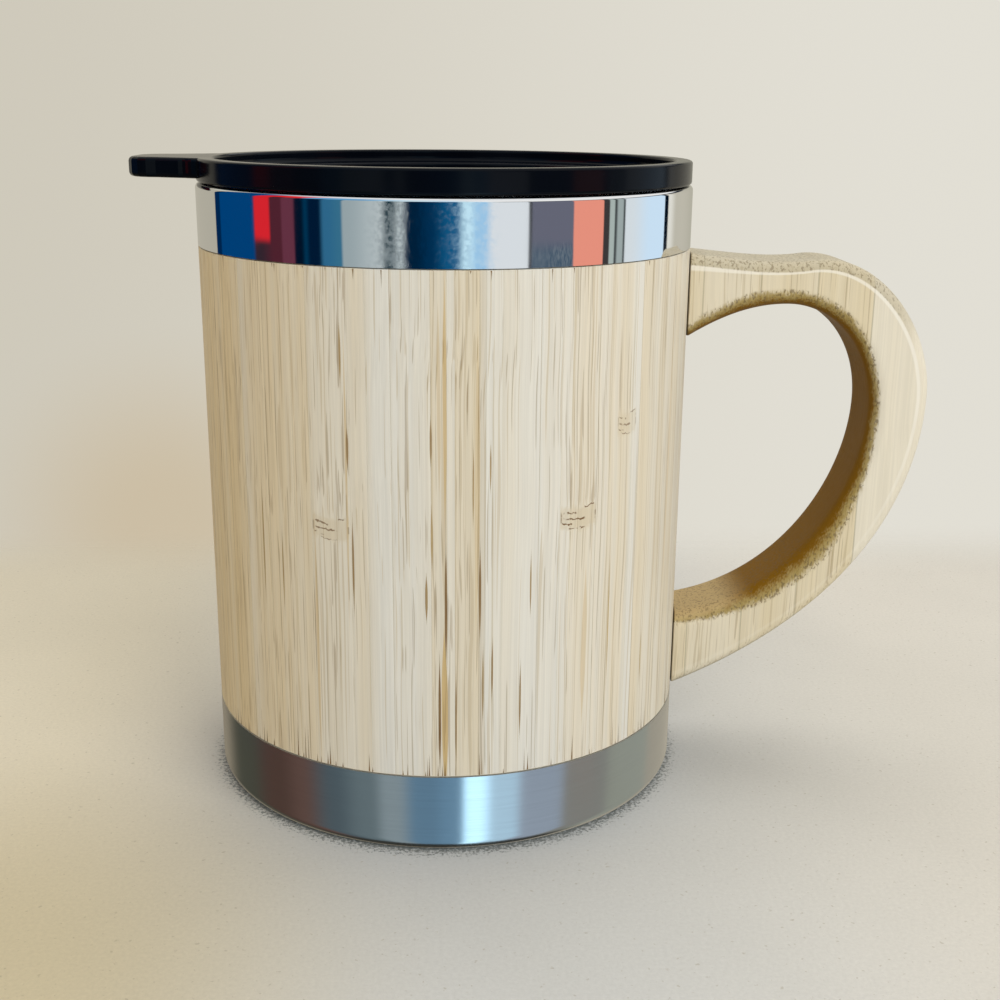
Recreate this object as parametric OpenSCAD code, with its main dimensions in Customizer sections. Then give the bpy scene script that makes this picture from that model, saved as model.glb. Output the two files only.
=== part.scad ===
// Bamboo-clad steel mug with a bamboo handle and a sliding-sip press-in lid.
// Frame: millimetres, +Z up, origin on the cup's axis in the plane it stands on.
// The handle reaches towards +X and the lid's thumb tab towards -X.

/* [Cup] */
// Outer radius of the bamboo sleeve and of both steel bands
body_r = 42.5; // [38:0.5:48]
// Height of the cup to the top of its steel rim, without the lid
cup_h = 105.7; // [98:0.1:125]
// Height of the brushed steel base
base_h = 13.6; // [12:0.1:14]
// Height of the polished steel rim band
collar_h = 10.2; // [9.4:0.1:14]
// Thickness of the steel sheet
steel_t = 0.6; // [0.4:0.1:0.8]
// Wall of the bamboo sleeve
sleeve_t = 2.9; // [2.6:0.1:3.6]
// Height of the inner cup's floor above the table
floor_z = 4.6; // [3.6:0.1:5.4]
// Outer radius of the inner cup's bottom corner
cup_corner_r = 6.6; // [3:0.1:10]
// Outer radius of the bend between the bore and the rim
lip_r = 1.2; // [1:0.1:1.4]
// Outer radius of the rim band's rolled top edge
collar_edge_r = 1; // [0.9:0.1:1.3]
// Outer radius of the base's bottom corner
base_corner_r = 2; // [1.2:0.1:4]
// Width of the flat ring that the cup stands on
rest_w = 5.5; // [3:0.1:9]
// Depth of the recess pressed into the base
base_recess = 1.5; // [0.8:0.1:2.2]
// Length of the turned-down sleeve ends inside the steel bands
spigot_h = 8; // [5:0.1:8.2]

/* [Handle] */
// Thickness of the handle, across the cup
handle_w = 15; // [12:0.5:20]
// Reach of the handle beyond the sleeve
handle_reach = 43.5; // [38:0.5:50]
// Height of the handle where it meets the sleeve, top to bottom
handle_h = 78.5; // [72:0.5:79]
// Height of the handle's lower end above the table
handle_z = 14.7; // [14.2:0.1:16]
// Rounding of the handle's outer edges
outer_edge_r = 2; // [1:0.1:3]
// Rounding of the handle's edges round the finger gap
inner_edge_r = 2.8; // [1:0.1:3.4]
// Radius of the handle screws
screw_r = 1.6; // [1.2:0.1:1.9]
// Radius of the screw heads
screw_head_r = 3.3; // [2.6:0.1:4]
// Depth of the countersunk screw heads
screw_head_h = 1.7; // [1.2:0.1:2]
// Length of the screws inside the handle
screw_reach = 11; // [8:0.5:12]

/* [Lid] */
// Height of the lid's rim above the cup
lid_h = 3.9; // [3.4:0.1:6]
// Width of the flat top of the lid's rim, with its edges
rim_w = 3; // [2.4:0.1:3.4]
// Thickness of the lid's floor and skirt
lid_t = 1.8; // [1.4:0.1:2.2]
// Thickness of the shelf between the lid's rim and its well
shelf_t = 1.6; // [1.2:0.1:2.4]
// Depth of the lid's well, from the rim to the floor
well_d = 6.75; // [5.6:0.05:7]
// Depth of the lid's plug below the cup's rim
plug_h = 9.3; // [8.8:0.1:16]
// Rounding of the lid's edges
lid_edge_r = 0.5; // [0.2:0.1:0.7]
// Reach of the thumb tab beyond the lid's rim
tab_l = 11.2; // [9:0.1:18]
// Width of the thumb tab at its tip
tab_w = 16.5; // [14:0.5:19]
// Width of the thumb tab where it meets the rim
tab_root_w = 20; // [17:0.5:24]
// Thickness of the thumb tab
tab_t = 3.3; // [2.4:0.1:3.4]
// Radius of the thumb tab's two corners
tab_corner_r = 5.5; // [2:0.1:6]
// Rounding of the thumb tab's edges
tab_edge_r = 0.8; // [0.3:0.1:1]
// Height of the silicone sealing ring
seal_h = 4.2; // [3.6:0.1:4.4]
// Depth of the groove that holds the sealing ring
groove_d = 2; // [1.6:0.1:2.4]
// Thickness of the ribs above and below the sealing ring
rib_t = 1.2; // [0.8:0.1:1.2]

/* [Sip closure] */
// Distance of the sip hole's centre from the cup's axis
sip_x = 26; // [24:0.1:26.2]
// Size of the sip hole along the slide
sip_l = 7; // [5:0.1:7.4]
// Size of the sip hole across the slide
sip_w = 12; // [8:0.1:13]
// Travel of the slider from open to closed
sip_travel = 13; // [12.6:0.1:14]
// Length of the slider plate
slider_l = 28; // [26.5:0.1:29]
// Width of the slider plate
slider_w = 18; // [16.5:0.1:18.6]
// Thickness of the slider plate
slider_t = 1.8; // [1.4:0.1:2.2]
// Radius of the slider plate's corners
slider_corner_r = 3; // [2.8:0.1:4]
// Side of the slider's square stem
stem_w = 4; // [3:0.1:4.6]
// Thickness of the clip under the lid's floor
clip_t = 1.2; // [0.8:0.1:1.6]
// Radius of the air vent
vent_r = 1; // [0.6:0.1:1.5]

/* [Hidden] */
$fn = 96;

// Clearances
sleeve_gap = 0.3;
band_gap = 0.1;
handle_gap = 0.1;
screw_gap = 0.1;
head_sink = 0.2;
lid_gap = 0.15;
lid_setback = 0.2;
plug_gap = 0.5;
seal_gap = 0.08;
groove_gap = 0.1;
slide_gap = 0.2;
guide_gap = 0.25;
pad_gap = 0.05;
clip_gap = 0.15;
stem_gap = 0.4;
cut = 1;

// Steps of the rounded corners
arc_steps = 5;
bend_steps = 10;

// Cup levels and radii
sleeve_in_r = body_r - sleeve_t;
bore_r = sleeve_in_r - sleeve_gap - steel_t;
lip_out_r = body_r - collar_edge_r - steel_t;
collar_z = cup_h - collar_h;
spigot_r = body_r - steel_t - band_gap;
sleeve_edge = 0.3;
recess_r = body_r - base_corner_r - rest_w;
bend_angle = 45;

// Handle: the outer and inner edges are chains of three Bezier curves, as
// shares of the reach (from the sleeve outwards) and of the height (upwards)
outer_shares = [[-0.1, 1], [0.1, 1], [0.3, 0.982], [0.48, 0.998], [0.76, 1.023],
                [1, 0.85], [1, 0.69], [1, 0.38], [0.6, 0.115], [-0.1, -0.03]];
inner_shares = [[-0.1, 0.79], [0.1, 0.87], [0.25, 0.9], [0.4, 0.9], [0.6, 0.9],
                [0.765, 0.8], [0.765, 0.66], [0.765, 0.45], [0.46, 0.175], [-0.1, 0.165]];
handle_steps = 54;
handle_arc_steps = 5;

// Handle screws: each is placed within the contact between a foot of the handle
// and the sleeve, whose turned-down ends reach on behind the steel bands
foot_shares = [[0, 0.17], [0.83, 1]];
screw_shares = [0.7, 0.62];
foot_z = [for (foot = foot_shares) [max(handle_z + foot[0] * handle_h, base_h - spigot_h),
                                    min(handle_z + foot[1] * handle_h, collar_z + spigot_h)]];
screw_z = [for (k = [0, 1]) foot_z[k][0] + screw_shares[k] * (foot_z[k][1] - foot_z[k][0])];
head_x = sleeve_in_r + head_sink;
tip_l = screw_r * 1.6;

// Lid levels and radii
lid_z = cup_h + lid_gap;
lid_top = lid_z + lid_h;
lid_r = body_r - lid_setback;
rim_in_r = lid_r - rim_w;
shelf_z = lid_z + shelf_t;
deck_z = lid_top - well_d;
plug_z = cup_h - plug_h;
rib_r = bore_r - plug_gap;
skirt_r = rib_r - groove_d;
well_r = skirt_r - lid_t;
groove_z = plug_z + rib_t;
groove_top = groove_z + seal_h + 2 * groove_gap;
cove_r = 1;
lead_in = 0.5;
seal_body_share = 0.45;
seal_lip_r = 0.5;

// Thumb tab
tab_root_x = rim_in_r + lid_edge_r;
tab_tip_x = lid_r + tab_l;
tab_fillet_share = 0.15;
tab_steps = 6;

// Sip closure: the model rests with the hole open
sip_corner_r = 2.6;
cover_margin = 3;
slider_front_x = sip_x + sip_l / 2 + cover_margin - sip_travel;
slider_mid_x = slider_front_x - slider_l / 2;
slider_z = deck_z + slide_gap;
pad_margin = 2;
pad_t = 1;
pad_x = sip_x - sip_travel;
stem_inset = 3.5;
stem_x = slider_front_x - slider_l + stem_inset;
clip_z = deck_z - lid_t - clip_gap - clip_t;
stem_foot_h = 1;
stem_barb = 0.4;
clip_margin = 3;
rail_t = 1.6;
rail_h = 1.4;
ridge_r = 0.55;
ridge_pitch = 2.2;
ridge_count = 5;
grip_h = 1.5;
grip_t = 2;

// Points on an arc round a centre
function arc(c, r, from, to, n = arc_steps) =
    [for (i = [0 : n]) let (a = from + (to - from) * i / n) c + r * [cos(a), sin(a)]];

// A point on a cubic Bezier curve
function bezier(p, t) =
    pow(1 - t, 3) * p[0] + 3 * pow(1 - t, 2) * t * p[1] + 3 * (1 - t) * t * t * p[2] + pow(t, 3) * p[3];

// A point on a chain of cubic Bezier curves, t from 0 to 1
function chain(p, t) =
    let (parts = (len(p) - 1) / 3, k = min(floor(t * parts), parts - 1))
    bezier([for (i = [0 : 3]) p[3 * k + i]], t * parts - k);

// Outline of a rectangle with rounded corners, centred
function rounded(l, w, r) =
    concat(arc([l / 2 - r, w / 2 - r], r, 0, 90), arc([r - l / 2, w / 2 - r], r, 90, 180),
           arc([r - l / 2, r - w / 2], r, 180, 270), arc([l / 2 - r, r - w / 2], r, 270, 360));

// A closed skin over a row of rings that all have the same number of points
module skin(rings) {
    n = len(rings[0]);
    last = (len(rings) - 1) * n;
    sides = [for (k = [0 : len(rings) - 2], i = [0 : n - 1])
             let (a = k * n + i, b = k * n + (i + 1) % n)
             each [[a, b, b + n], [a, b + n, a + n]]];
    polyhedron([for (ring = rings, p = ring) p],
               concat(sides, [[for (i = [n - 1 : -1 : 0]) i], [for (i = [0 : n - 1]) last + i]]));
}

// Lays a turned or bored shape, drawn along +Z, along +X at a height
module along_x(x, z) {
    translate([x, 0, z])
        rotate([0, 90, 0])
            children();
}

// Inner cup: drawn steel sheet with a rounded floor and an out-turned lip
module inner_cup() {
    floor_c = [bore_r + steel_t - cup_corner_r, floor_z + cup_corner_r];
    lip_c = [bore_r + lip_r, cup_h - lip_r];
    color("lightgray")
        rotate_extrude()
            polygon(concat([[0, floor_z]],
                           arc(floor_c, cup_corner_r, -90, 0, bend_steps),
                           arc(lip_c, lip_r - steel_t, 180, 90),
                           [[lip_out_r, cup_h - steel_t], [lip_out_r, cup_h]],
                           arc(lip_c, lip_r, 90, 180),
                           arc(floor_c, cup_corner_r - steel_t, 0, -90, bend_steps),
                           [[0, floor_z + steel_t]]));
}

// Rim collar: the polished band, rolled over at the top to meet the cup's lip
module rim_collar() {
    edge_c = [body_r - collar_edge_r, cup_h - collar_edge_r];
    color("silver")
        difference() {
            rotate_extrude()
                polygon(concat([[body_r, collar_z]],
                               arc(edge_c, collar_edge_r, 0, 90),
                               [[lip_out_r, cup_h], [lip_out_r, cup_h - steel_t]],
                               arc(edge_c, collar_edge_r - steel_t, 90, 0),
                               [[body_r - steel_t, collar_z]]));
            // Lets the upper screw through, should a tall handle reach up to the band
            if (screw_z[1] + screw_r + screw_gap > collar_z)
                along_x(body_r - steel_t - cut, screw_z[1])
                    cylinder(r = screw_r + screw_gap, h = steel_t + 2 * cut);
        }
}

// Bamboo sleeve: both ends are turned down to sit inside the steel bands
module bamboo_sleeve() {
    color("burlywood")
        difference() {
            rotate_extrude()
                polygon([[sleeve_in_r, base_h - spigot_h],
                         [spigot_r, base_h - spigot_h],
                         [spigot_r, base_h],
                         [body_r - sleeve_edge, base_h],
                         [body_r, base_h + sleeve_edge],
                         [body_r, collar_z - sleeve_edge],
                         [body_r - sleeve_edge, collar_z],
                         [spigot_r, collar_z],
                         [spigot_r, collar_z + spigot_h],
                         [sleeve_in_r, collar_z + spigot_h]]);
            for (z = screw_z)
                screw_shape(z, screw_gap, head_sink + cut);
        }
}

// Base cup: brushed steel, pressed in at the middle so that it stands on a ring
module base_cup() {
    corner_c = [body_r - base_corner_r, base_corner_r];
    fold = steel_t * tan(bend_angle / 2);
    color("slategray")
        rotate_extrude()
            polygon(concat([[0, base_recess], [recess_r - base_recess, base_recess], [recess_r, 0]],
                           arc(corner_c, base_corner_r, -90, 0),
                           [[body_r, base_h], [body_r - steel_t, base_h]],
                           arc(corner_c, base_corner_r - steel_t, 0, -90),
                           [[recess_r + fold, steel_t],
                            [recess_r - base_recess + fold, base_recess + steel_t],
                            [0, base_recess + steel_t]]));
}

// One ring of the handle's skin: a rounded rectangle between its two edges
function handle_ring(t) =
    let (size = [handle_reach, handle_h], base = [body_r, handle_z],
         o = chain(outer_shares, t), i = chain(inner_shares, t),
         outer = [base[0] + o[0] * size[0], base[1] + o[1] * size[1]],
         inner = [base[0] + i[0] * size[0], base[1] + i[1] * size[1]],
         mid = (outer + inner) / 2, half = norm(outer - inner) / 2, dir = (outer - inner) / (2 * half),
         ro = outer_edge_r, ri = inner_edge_r, w = handle_w / 2,
         flat = concat(arc([half - ro, w - ro], ro, 0, 90, handle_arc_steps),
                       arc([ri - half, w - ri], ri, 90, 180, handle_arc_steps),
                       arc([ri - half, ri - w], ri, 180, 270, handle_arc_steps),
                       arc([half - ro, ro - w], ro, 270, 360, handle_arc_steps)))
    [for (p = flat) [mid[0] + dir[0] * p[0], p[1], mid[1] + dir[1] * p[0]]];

// Handle: a carved bamboo loop, scooped at both ends to fit the sleeve
module handle() {
    color("wheat")
        difference() {
            skin([for (k = [0 : handle_steps]) handle_ring(k / handle_steps)]);
            cylinder(r = body_r + handle_gap, h = handle_z + handle_h + cut);
            for (z = screw_z)
                along_x(body_r - cut, z)
                    cylinder(r = screw_r + screw_gap, h = screw_reach + 2 * cut);
        }
}

// A countersunk screw along +X, or the hole for it where gap and sink are given
module screw_shape(z, gap = 0, sink = 0) {
    along_x(head_x, z)
        rotate_extrude()
            polygon([[0, -sink],
                     [screw_head_r + gap, -sink],
                     [screw_head_r + gap, 0],
                     [screw_r + gap, screw_head_h],
                     [screw_r + gap, body_r + screw_reach - head_x - tip_l],
                     [0, body_r + screw_reach - head_x]]);
}

// Handle screws: driven from inside the sleeve before the inner cup goes in
module handle_screws() {
    color("dimgray")
        for (z = screw_z)
            screw_shape(z);
}

// One half of the thumb tab's outline, drawn in by a margin, tip first
function tab_half(d) =
    let (corner = [tab_tip_x - tab_corner_r, tab_w / 2 - tab_corner_r],
         y = tab_root_w / 2, fillet = tab_fillet_share * tab_l)
    concat(arc(corner, tab_corner_r - d, 0, 90),
           [for (i = [0 : tab_steps])
            let (p = bezier([[lid_r + fillet, y], [lid_r, y], [lid_r, y + fillet], [tab_root_x, y + fillet]],
                            i / tab_steps))
            [p[0], p[1] - d]]);

// The tab's outline at one level, as a ring of points
function tab_ring(d, z) =
    let (half = tab_half(d), n = len(half))
    concat([for (p = half) [-p[0], p[1], z]], [for (i = [n - 1 : -1 : 0]) [-half[i][0], -half[i][1], z]]);

// Thumb tab, rounded along its top and bottom edges
module thumb_tab() {
    e = tab_edge_r;
    low = [for (p = arc([0, 0], e, -90, 0)) tab_ring(e - p[0], lid_top - tab_t + e + p[1])];
    high = [for (p = arc([0, 0], e, 0, 90)) tab_ring(e - p[0], lid_top - e + p[1])];
    skin(concat(low, high));
}

// Lid: rim, shelf, well and plug in one moulding, with the tab and the slide's rails
module lid_body() {
    e = lid_edge_r;
    color("black")
        difference() {
            union() {
                rotate_extrude()
                    polygon(concat([[0, deck_z - lid_t], [well_r, deck_z - lid_t], [well_r, plug_z],
                                    [rib_r - lead_in, plug_z], [rib_r, plug_z + lead_in],
                                    [rib_r, groove_z], [skirt_r, groove_z],
                                    [skirt_r, groove_top], [rib_r, groove_top],
                                    [rib_r, groove_top + rib_t], [skirt_r, groove_top + rib_t],
                                    [skirt_r, lid_z]],
                                   arc([lid_r - e, lid_z + e], e, -90, 0),
                                   arc([lid_r - e, lid_top - e], e, 0, 90),
                                   arc([rim_in_r + e, lid_top - e], e, 90, 180),
                                   arc([rim_in_r - cove_r, shelf_z + cove_r], cove_r, 0, -90),
                                   arc([well_r + e, shelf_z - e], e, 90, 180),
                                   arc([well_r - cove_r, deck_z + cove_r], cove_r, 0, -90),
                                   [[0, deck_z]]));
                thumb_tab();
                slide_rails();
            }
            translate([sip_x, 0, deck_z - lid_t - cut])
                linear_extrude(lid_t + 2 * cut)
                    polygon(rounded(sip_l, sip_w, sip_corner_r));
            translate([stem_x + sip_travel / 2, 0, deck_z - lid_t / 2])
                cube([sip_travel + stem_w + 2 * stem_gap, stem_w + 2 * stem_gap, lid_t + 2 * cut], center = true);
            translate([-sip_x, 0, deck_z - lid_t - cut])
                cylinder(r = vent_r, h = lid_t + 2 * cut);
        }
}

// Rails that guide the slider on both sides
module slide_rails() {
    low_x = slider_front_x - slider_l - rail_t;
    for (side = [-1, 1])
        translate([low_x, side * (slider_w / 2 + guide_gap + rail_t / 2) - rail_t / 2, deck_z - lid_t / 2])
            cube([sip_x - low_x, rail_t, lid_t / 2 + rail_h]);
}

// Sealing ring: silicone, with two round lips that press on the bore
module lid_seal_ring() {
    in_r = skirt_r + seal_gap;
    body_out_r = in_r + seal_body_share * groove_d;
    lip_c = bore_r - seal_gap - seal_lip_r;
    low = groove_z + groove_gap;
    color("gainsboro")
        rotate_extrude()
            polygon(concat([[in_r, low], [body_out_r, low]],
                           seal_lip(body_out_r, lip_c, low + seal_h / 4),
                           seal_lip(body_out_r, lip_c, low + seal_h * 3 / 4),
                           [[body_out_r, low + seal_h], [in_r, low + seal_h]]));
}

// The outline of one lip, from the ring's body out to its round edge and back
function seal_lip(root_r, c, z) =
    concat([[root_r, z - seal_lip_r]], arc([c, z], seal_lip_r, -90, 90), [[root_r, z + seal_lip_r]]);

// Slider: plate, finger ridges and grip on top, stem and foot below
module sip_slider() {
    foot_z = clip_z - stem_foot_h;
    color("darkslategray")
        difference() {
            union() {
                translate([slider_mid_x, 0, slider_z])
                    linear_extrude(slider_t)
                        polygon(rounded(slider_l, slider_w, slider_corner_r));
                finger_ridges();
                translate([stem_x - stem_w / 2, -stem_w / 2, foot_z])
                    cube([stem_w, stem_w, slider_z - foot_z + slider_t / 2]);
                stem_foot(foot_z);
            }
            translate([pad_x, 0, slider_z - cut])
                linear_extrude(cut + pad_t + pad_gap - slide_gap)
                    polygon(rounded(sip_l + 2 * pad_margin, sip_w + 1.5 * pad_margin, sip_corner_r));
        }
}

// Half-round ridges across the plate, and the raised grip at its inner end
module finger_ridges() {
    ridge_l = slider_w * 0.6;
    grip_x = slider_front_x - slider_l + slider_corner_r;
    for (i = [1 : ridge_count])
        translate([grip_x + grip_t + i * ridge_pitch, 0, slider_z + slider_t])
            rotate([90, 0, 0])
                cylinder(r = ridge_r, h = ridge_l, center = true, $fn = 24);
    translate([grip_x + grip_t / 2, 0, slider_z + slider_t / 2])
        linear_extrude(slider_t / 2 + grip_h)
            polygon(rounded(grip_t, ridge_l, grip_t * 0.4));
}

// The barbed foot of the stem, which snaps through the clip
module stem_foot(z) {
    translate([stem_x + stem_w / 2, 0, z])
        rotate([90, 0, -90])
            linear_extrude(stem_w)
                polygon([[-stem_w / 2, 0], [stem_w / 2, 0],
                         [stem_w / 2 + stem_barb, stem_foot_h], [-stem_w / 2 - stem_barb, stem_foot_h]]);
}

// Clip: keeps the slider down, from under the lid's floor
module slider_clip() {
    color("dimgray")
        translate([stem_x, 0, clip_z])
            linear_extrude(clip_t)
                difference() {
                    polygon(rounded(stem_w + 2 * clip_margin, stem_w + 2 * clip_margin, clip_margin / 2));
                    square(stem_w, center = true);
                }
}

// Seal pad: silicone, let into the slider's underside over the sip hole
module sip_seal_pad() {
    color("whitesmoke")
        translate([pad_x, 0, deck_z + pad_gap])
            linear_extrude(pad_t)
                polygon(rounded(sip_l + 2 * pad_margin, sip_w + 1.5 * pad_margin, sip_corner_r));
}

inner_cup();
rim_collar();
bamboo_sleeve();
base_cup();
handle();
handle_screws();
lid_body();
lid_seal_ring();
sip_slider();
slider_clip();
sip_seal_pad();
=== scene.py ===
"""Dresses the bamboo-clad steel mug: bamboo strips, carved handle, steel finishes, lid and stage.

Laid out as an add-on: settings, one operator for each group of like pieces, one panel. All lengths
are in metres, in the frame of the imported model: +Z up, the handle towards +X, the photograph
taken from -Y.
"""

import math

import bmesh
import bpy
import numpy as np
from bpy.props import FloatProperty, FloatVectorProperty, IntProperty, PointerProperty
from mathutils import Matrix, Vector


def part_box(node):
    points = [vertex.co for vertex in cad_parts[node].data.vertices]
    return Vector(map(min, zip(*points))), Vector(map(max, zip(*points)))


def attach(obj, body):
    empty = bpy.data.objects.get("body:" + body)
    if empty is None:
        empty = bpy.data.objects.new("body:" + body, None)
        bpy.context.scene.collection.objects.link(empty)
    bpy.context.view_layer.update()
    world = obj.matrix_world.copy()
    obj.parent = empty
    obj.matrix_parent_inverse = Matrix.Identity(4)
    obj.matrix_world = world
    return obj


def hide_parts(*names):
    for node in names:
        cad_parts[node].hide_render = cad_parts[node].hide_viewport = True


bl_info = {
    "name": "Bamboo Mug",
    "version": (1, 0, 0),
    "blender": (4, 5, 0),
    "location": "3D View > Sidebar > Mug",
    "description": "Builds the looks of a bamboo-clad steel mug around its packed solids",
    "category": "Object",
}

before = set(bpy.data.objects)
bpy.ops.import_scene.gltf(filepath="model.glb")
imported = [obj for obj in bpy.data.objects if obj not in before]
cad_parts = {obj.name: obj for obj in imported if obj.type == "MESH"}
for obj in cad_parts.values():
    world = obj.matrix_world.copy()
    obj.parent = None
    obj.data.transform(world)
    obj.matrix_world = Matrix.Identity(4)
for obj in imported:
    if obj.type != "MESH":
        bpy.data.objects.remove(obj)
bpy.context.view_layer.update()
MM = 0.001

BASE_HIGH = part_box("base_cup")[1]
BAND_LOW, BAND_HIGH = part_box("rim_collar")
SLEEVE_LOW, SLEEVE_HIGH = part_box("bamboo_sleeve")
BODY_R = BASE_HIGH.x
BASE_H = BASE_HIGH.z
BAND_Z = BAND_LOW.z
CUP_H = BAND_HIGH.z


# ---- Settings ----


def length(name, text, default, low=0.0, high=1.0):
    return FloatProperty(name=name, description=text, default=default, min=low, max=high,
                         precision=5, subtype="DISTANCE", unit="LENGTH")


def colour(name, text, default):
    return FloatVectorProperty(name=name, description=text, default=default, min=0.0, max=1.0,
                               size=3, subtype="COLOR")


def count(name, text, default, low, high):
    return IntProperty(name=name, description=text, default=default, min=low, max=high)


class SteelSettings(bpy.types.PropertyGroup):
    """The rim band, the base and the inner cup."""

    around: count("Steps around", "Faces round each steel band", 288, 96, 720)
    sheet: length("Sheet", "Thickness of the steel sheet", 0.6 * MM)
    roll: length("Rolled edge", "Radius of the rim band's rolled top edge", 0.8 * MM)
    corner: length("Base corner", "Radius of the base's bottom corner", 2.0 * MM)
    rest_w: length("Resting ring", "Width of the ring that the mug stands on", 5.5 * MM)
    recess: length("Recess", "Depth of the recess pressed into the base", 1.5 * MM)
    bright: colour("Polished steel", "Colour of the polished band", (0.86, 0.87, 0.88))
    brushed: colour("Brushed steel", "Colour of the brushed base", (0.6, 0.61, 0.62))
    satin: colour("Satin steel", "Colour of the drawn inner cup", (0.82, 0.82, 0.81))


class SleeveSettings(bpy.types.PropertyGroup):
    """The bamboo sleeve."""

    columns: count("Columns", "Mesh columns across each strip", 12, 5, 30)
    groove: length("Glue line", "Depth of the hairline groove between two strips", 0.03 * MM)
    skin_gap: length("Sanding depth", "How far the sanded face lies below the steel bands", 0.03 * MM)
    chamfer: length("Chamfer", "Chamfer at the sleeve's lower end", 0.3 * MM)
    seam: length("Seam", "Gap between the sleeve's upper end and the rim band", 0.18 * MM)
    tears: count("Torn fibres", "Torn fibres along the sleeve's lower end", 120, 0, 400)
    tear_l: length("Longest tear", "Length of the longest torn fibre", 7 * MM)
    tear_w: length("Tear width", "Width of a torn fibre at the sleeve's end", 0.26 * MM)
    seed: count("Seed", "Seed of the strips and the torn fibres", 7, 0, 999)
    cream: colour("Cream", "Colour of the palest strips", (0.75, 0.75, 0.71))
    golden: colour("Golden", "Colour of the most golden strips", (0.72, 0.57, 0.31))
    brown: colour("Brown", "Colour of the dark fibre bundles", (0.17, 0.09, 0.03))


class HandleSettings(bpy.types.PropertyGroup):
    """The carved handle."""

    reach: length("Reach", "Reach of the handle beyond the sleeve", 43.5 * MM)
    height: length("Height", "Height of the handle where it meets the sleeve", 78.5 * MM)
    foot_z: length("Foot", "Height of the handle's lower end above the table", 14.7 * MM)
    width: length("Width", "Thickness of the handle across the mug", 15 * MM)
    outer_r: length("Outer rounding", "Rounding of the outer edges", 2.0 * MM)
    inner_r: length("Inner rounding", "Rounding of the edges round the finger gap", 2.8 * MM)
    joint: length("Joint", "Gap between the handle's ends and the sleeve", 0.1 * MM)
    ease: length("Eased end", "Easing of the edge where the handle meets the sleeve", 0.3 * MM)
    rings: count("Rings", "Sections along the handle", 220, 60, 500)
    ply: length("Laminations", "Width of the boards that the handle is glued up from", 10 * MM)
    front: colour("Face", "Colour of the handle's faces", (0.75, 0.69, 0.55))
    # Partly the end grain's own colour, partly painted shade in the finger gap
    inner: colour("Inside", "Colour of the end grain round the finger gap", (0.2, 0.095, 0.004))


class ScrewSettings(bpy.types.PropertyGroup):
    """The two hidden handle screws."""

    core: length("Core", "Radius of the screw's core", 1.2 * MM)
    pitch: length("Pitch", "Distance from one turn of the thread to the next", 1.25 * MM)
    recess_w: length("Recess", "Width of the cross recess's slots", 0.7 * MM)
    metal: colour("Screw steel", "Colour of the screws", (0.45, 0.45, 0.46))


class LidSettings(bpy.types.PropertyGroup):
    """The lid, its seal and its sliding closure."""

    plastic: colour("Lid plastic", "Colour of the lid", (0.0015, 0.0025, 0.005))
    slider: colour("Slider plastic", "Colour of the slider and its clip", (0.014, 0.014, 0.016))
    silicone: colour("Silicone", "Colour of the sealing ring and the seal pad", (0.72, 0.72, 0.7))


class StageSettings(bpy.types.PropertyGroup):
    """Camera, lamps, floor and surroundings."""

    lens: FloatProperty(name="Lens", description="Focal length on a 36 mm sensor", default=48.92,
                        min=10, max=200, subtype="DISTANCE_CAMERA", unit="CAMERA")
    distance: length("Distance", "Distance of the camera from the mug's axis", 241.71 * MM)
    height: length("Height", "Height of the camera above the table", 118.6 * MM)
    pitch: FloatProperty(name="Pitch", description="How far the camera looks down", default=0.2834,
                         min=0, max=1.5, subtype="ANGLE", unit="ROTATION")
    yaw: FloatProperty(name="Yaw", description="How far the camera looks to the right", default=0.0409,
                       min=-1, max=1, subtype="ANGLE", unit="ROTATION")
    roll: FloatProperty(name="Roll", description="How far the camera leans", default=0.0087,
                        min=-1, max=1, subtype="ANGLE", unit="ROTATION")
    floor_r: length("Floor", "Radius of the floor", 0.9)
    table: colour("Table", "Colour of the table", (0.65, 0.62, 0.55))
    wall: colour("Wall", "Colour of the wall behind the mug", (0.69, 0.65, 0.55))


# ---- Node helpers ----


def put(tree, kind, inputs=None, **settings):
    """Adds one node. An input is given as a value or as the socket that feeds it."""
    made = tree.nodes.new(kind)
    for name, value in settings.items():
        setattr(made, name, value)
    for key, value in (inputs or {}).items():
        feed(made.inputs[key], value)
    return made


def feed(socket, value):
    if isinstance(value, bpy.types.NodeSocket):
        socket.id_data.links.new(value, socket)
    else:
        socket.default_value = value


def tree_of(values):
    """The node tree of the first socket among some values."""
    return next(value.id_data for value in values if isinstance(value, bpy.types.NodeSocket))


def out_of(kind, inputs, output=0, **settings):
    """An output of a new node, which goes into the tree that its inputs come from."""
    return put(tree_of(inputs.values()), kind, inputs, **settings).outputs[output]


def maths(operation, *values):
    return out_of("ShaderNodeMath", dict(enumerate(values)), operation=operation)


def times(a, b):
    return maths("MULTIPLY", a, b)


def plus(a, b):
    return maths("ADD", a, b)


def minus(a, b):
    return maths("SUBTRACT", a, b)


def most(a, b):
    return maths("MAXIMUM", a, b)


def apart(a, b):
    """How far apart two values are."""
    return maths("ABSOLUTE", minus(a, b))


def scaled(value, factor, added):
    """A value times a factor, with something added."""
    return maths("MULTIPLY_ADD", value, factor, added)


def azimuth(x, y):
    """The angle of a place round the axis, from -Y towards +X."""
    return maths("ARCTAN2", x, times(y, -1.0))


def vector_maths(operation, a, b, output="Vector"):
    return out_of("ShaderNodeVectorMath", {0: a, 1: b}, output, operation=operation)


def vector_times(vector, factors):
    return vector_maths("MULTIPLY", vector, factors)


def xyz_of(vector):
    return put(vector.id_data, "ShaderNodeSeparateXYZ", {0: vector}).outputs


def place_xyz(x, y, z):
    return out_of("ShaderNodeCombineXYZ", {"X": x, "Y": y, "Z": z})


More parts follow.
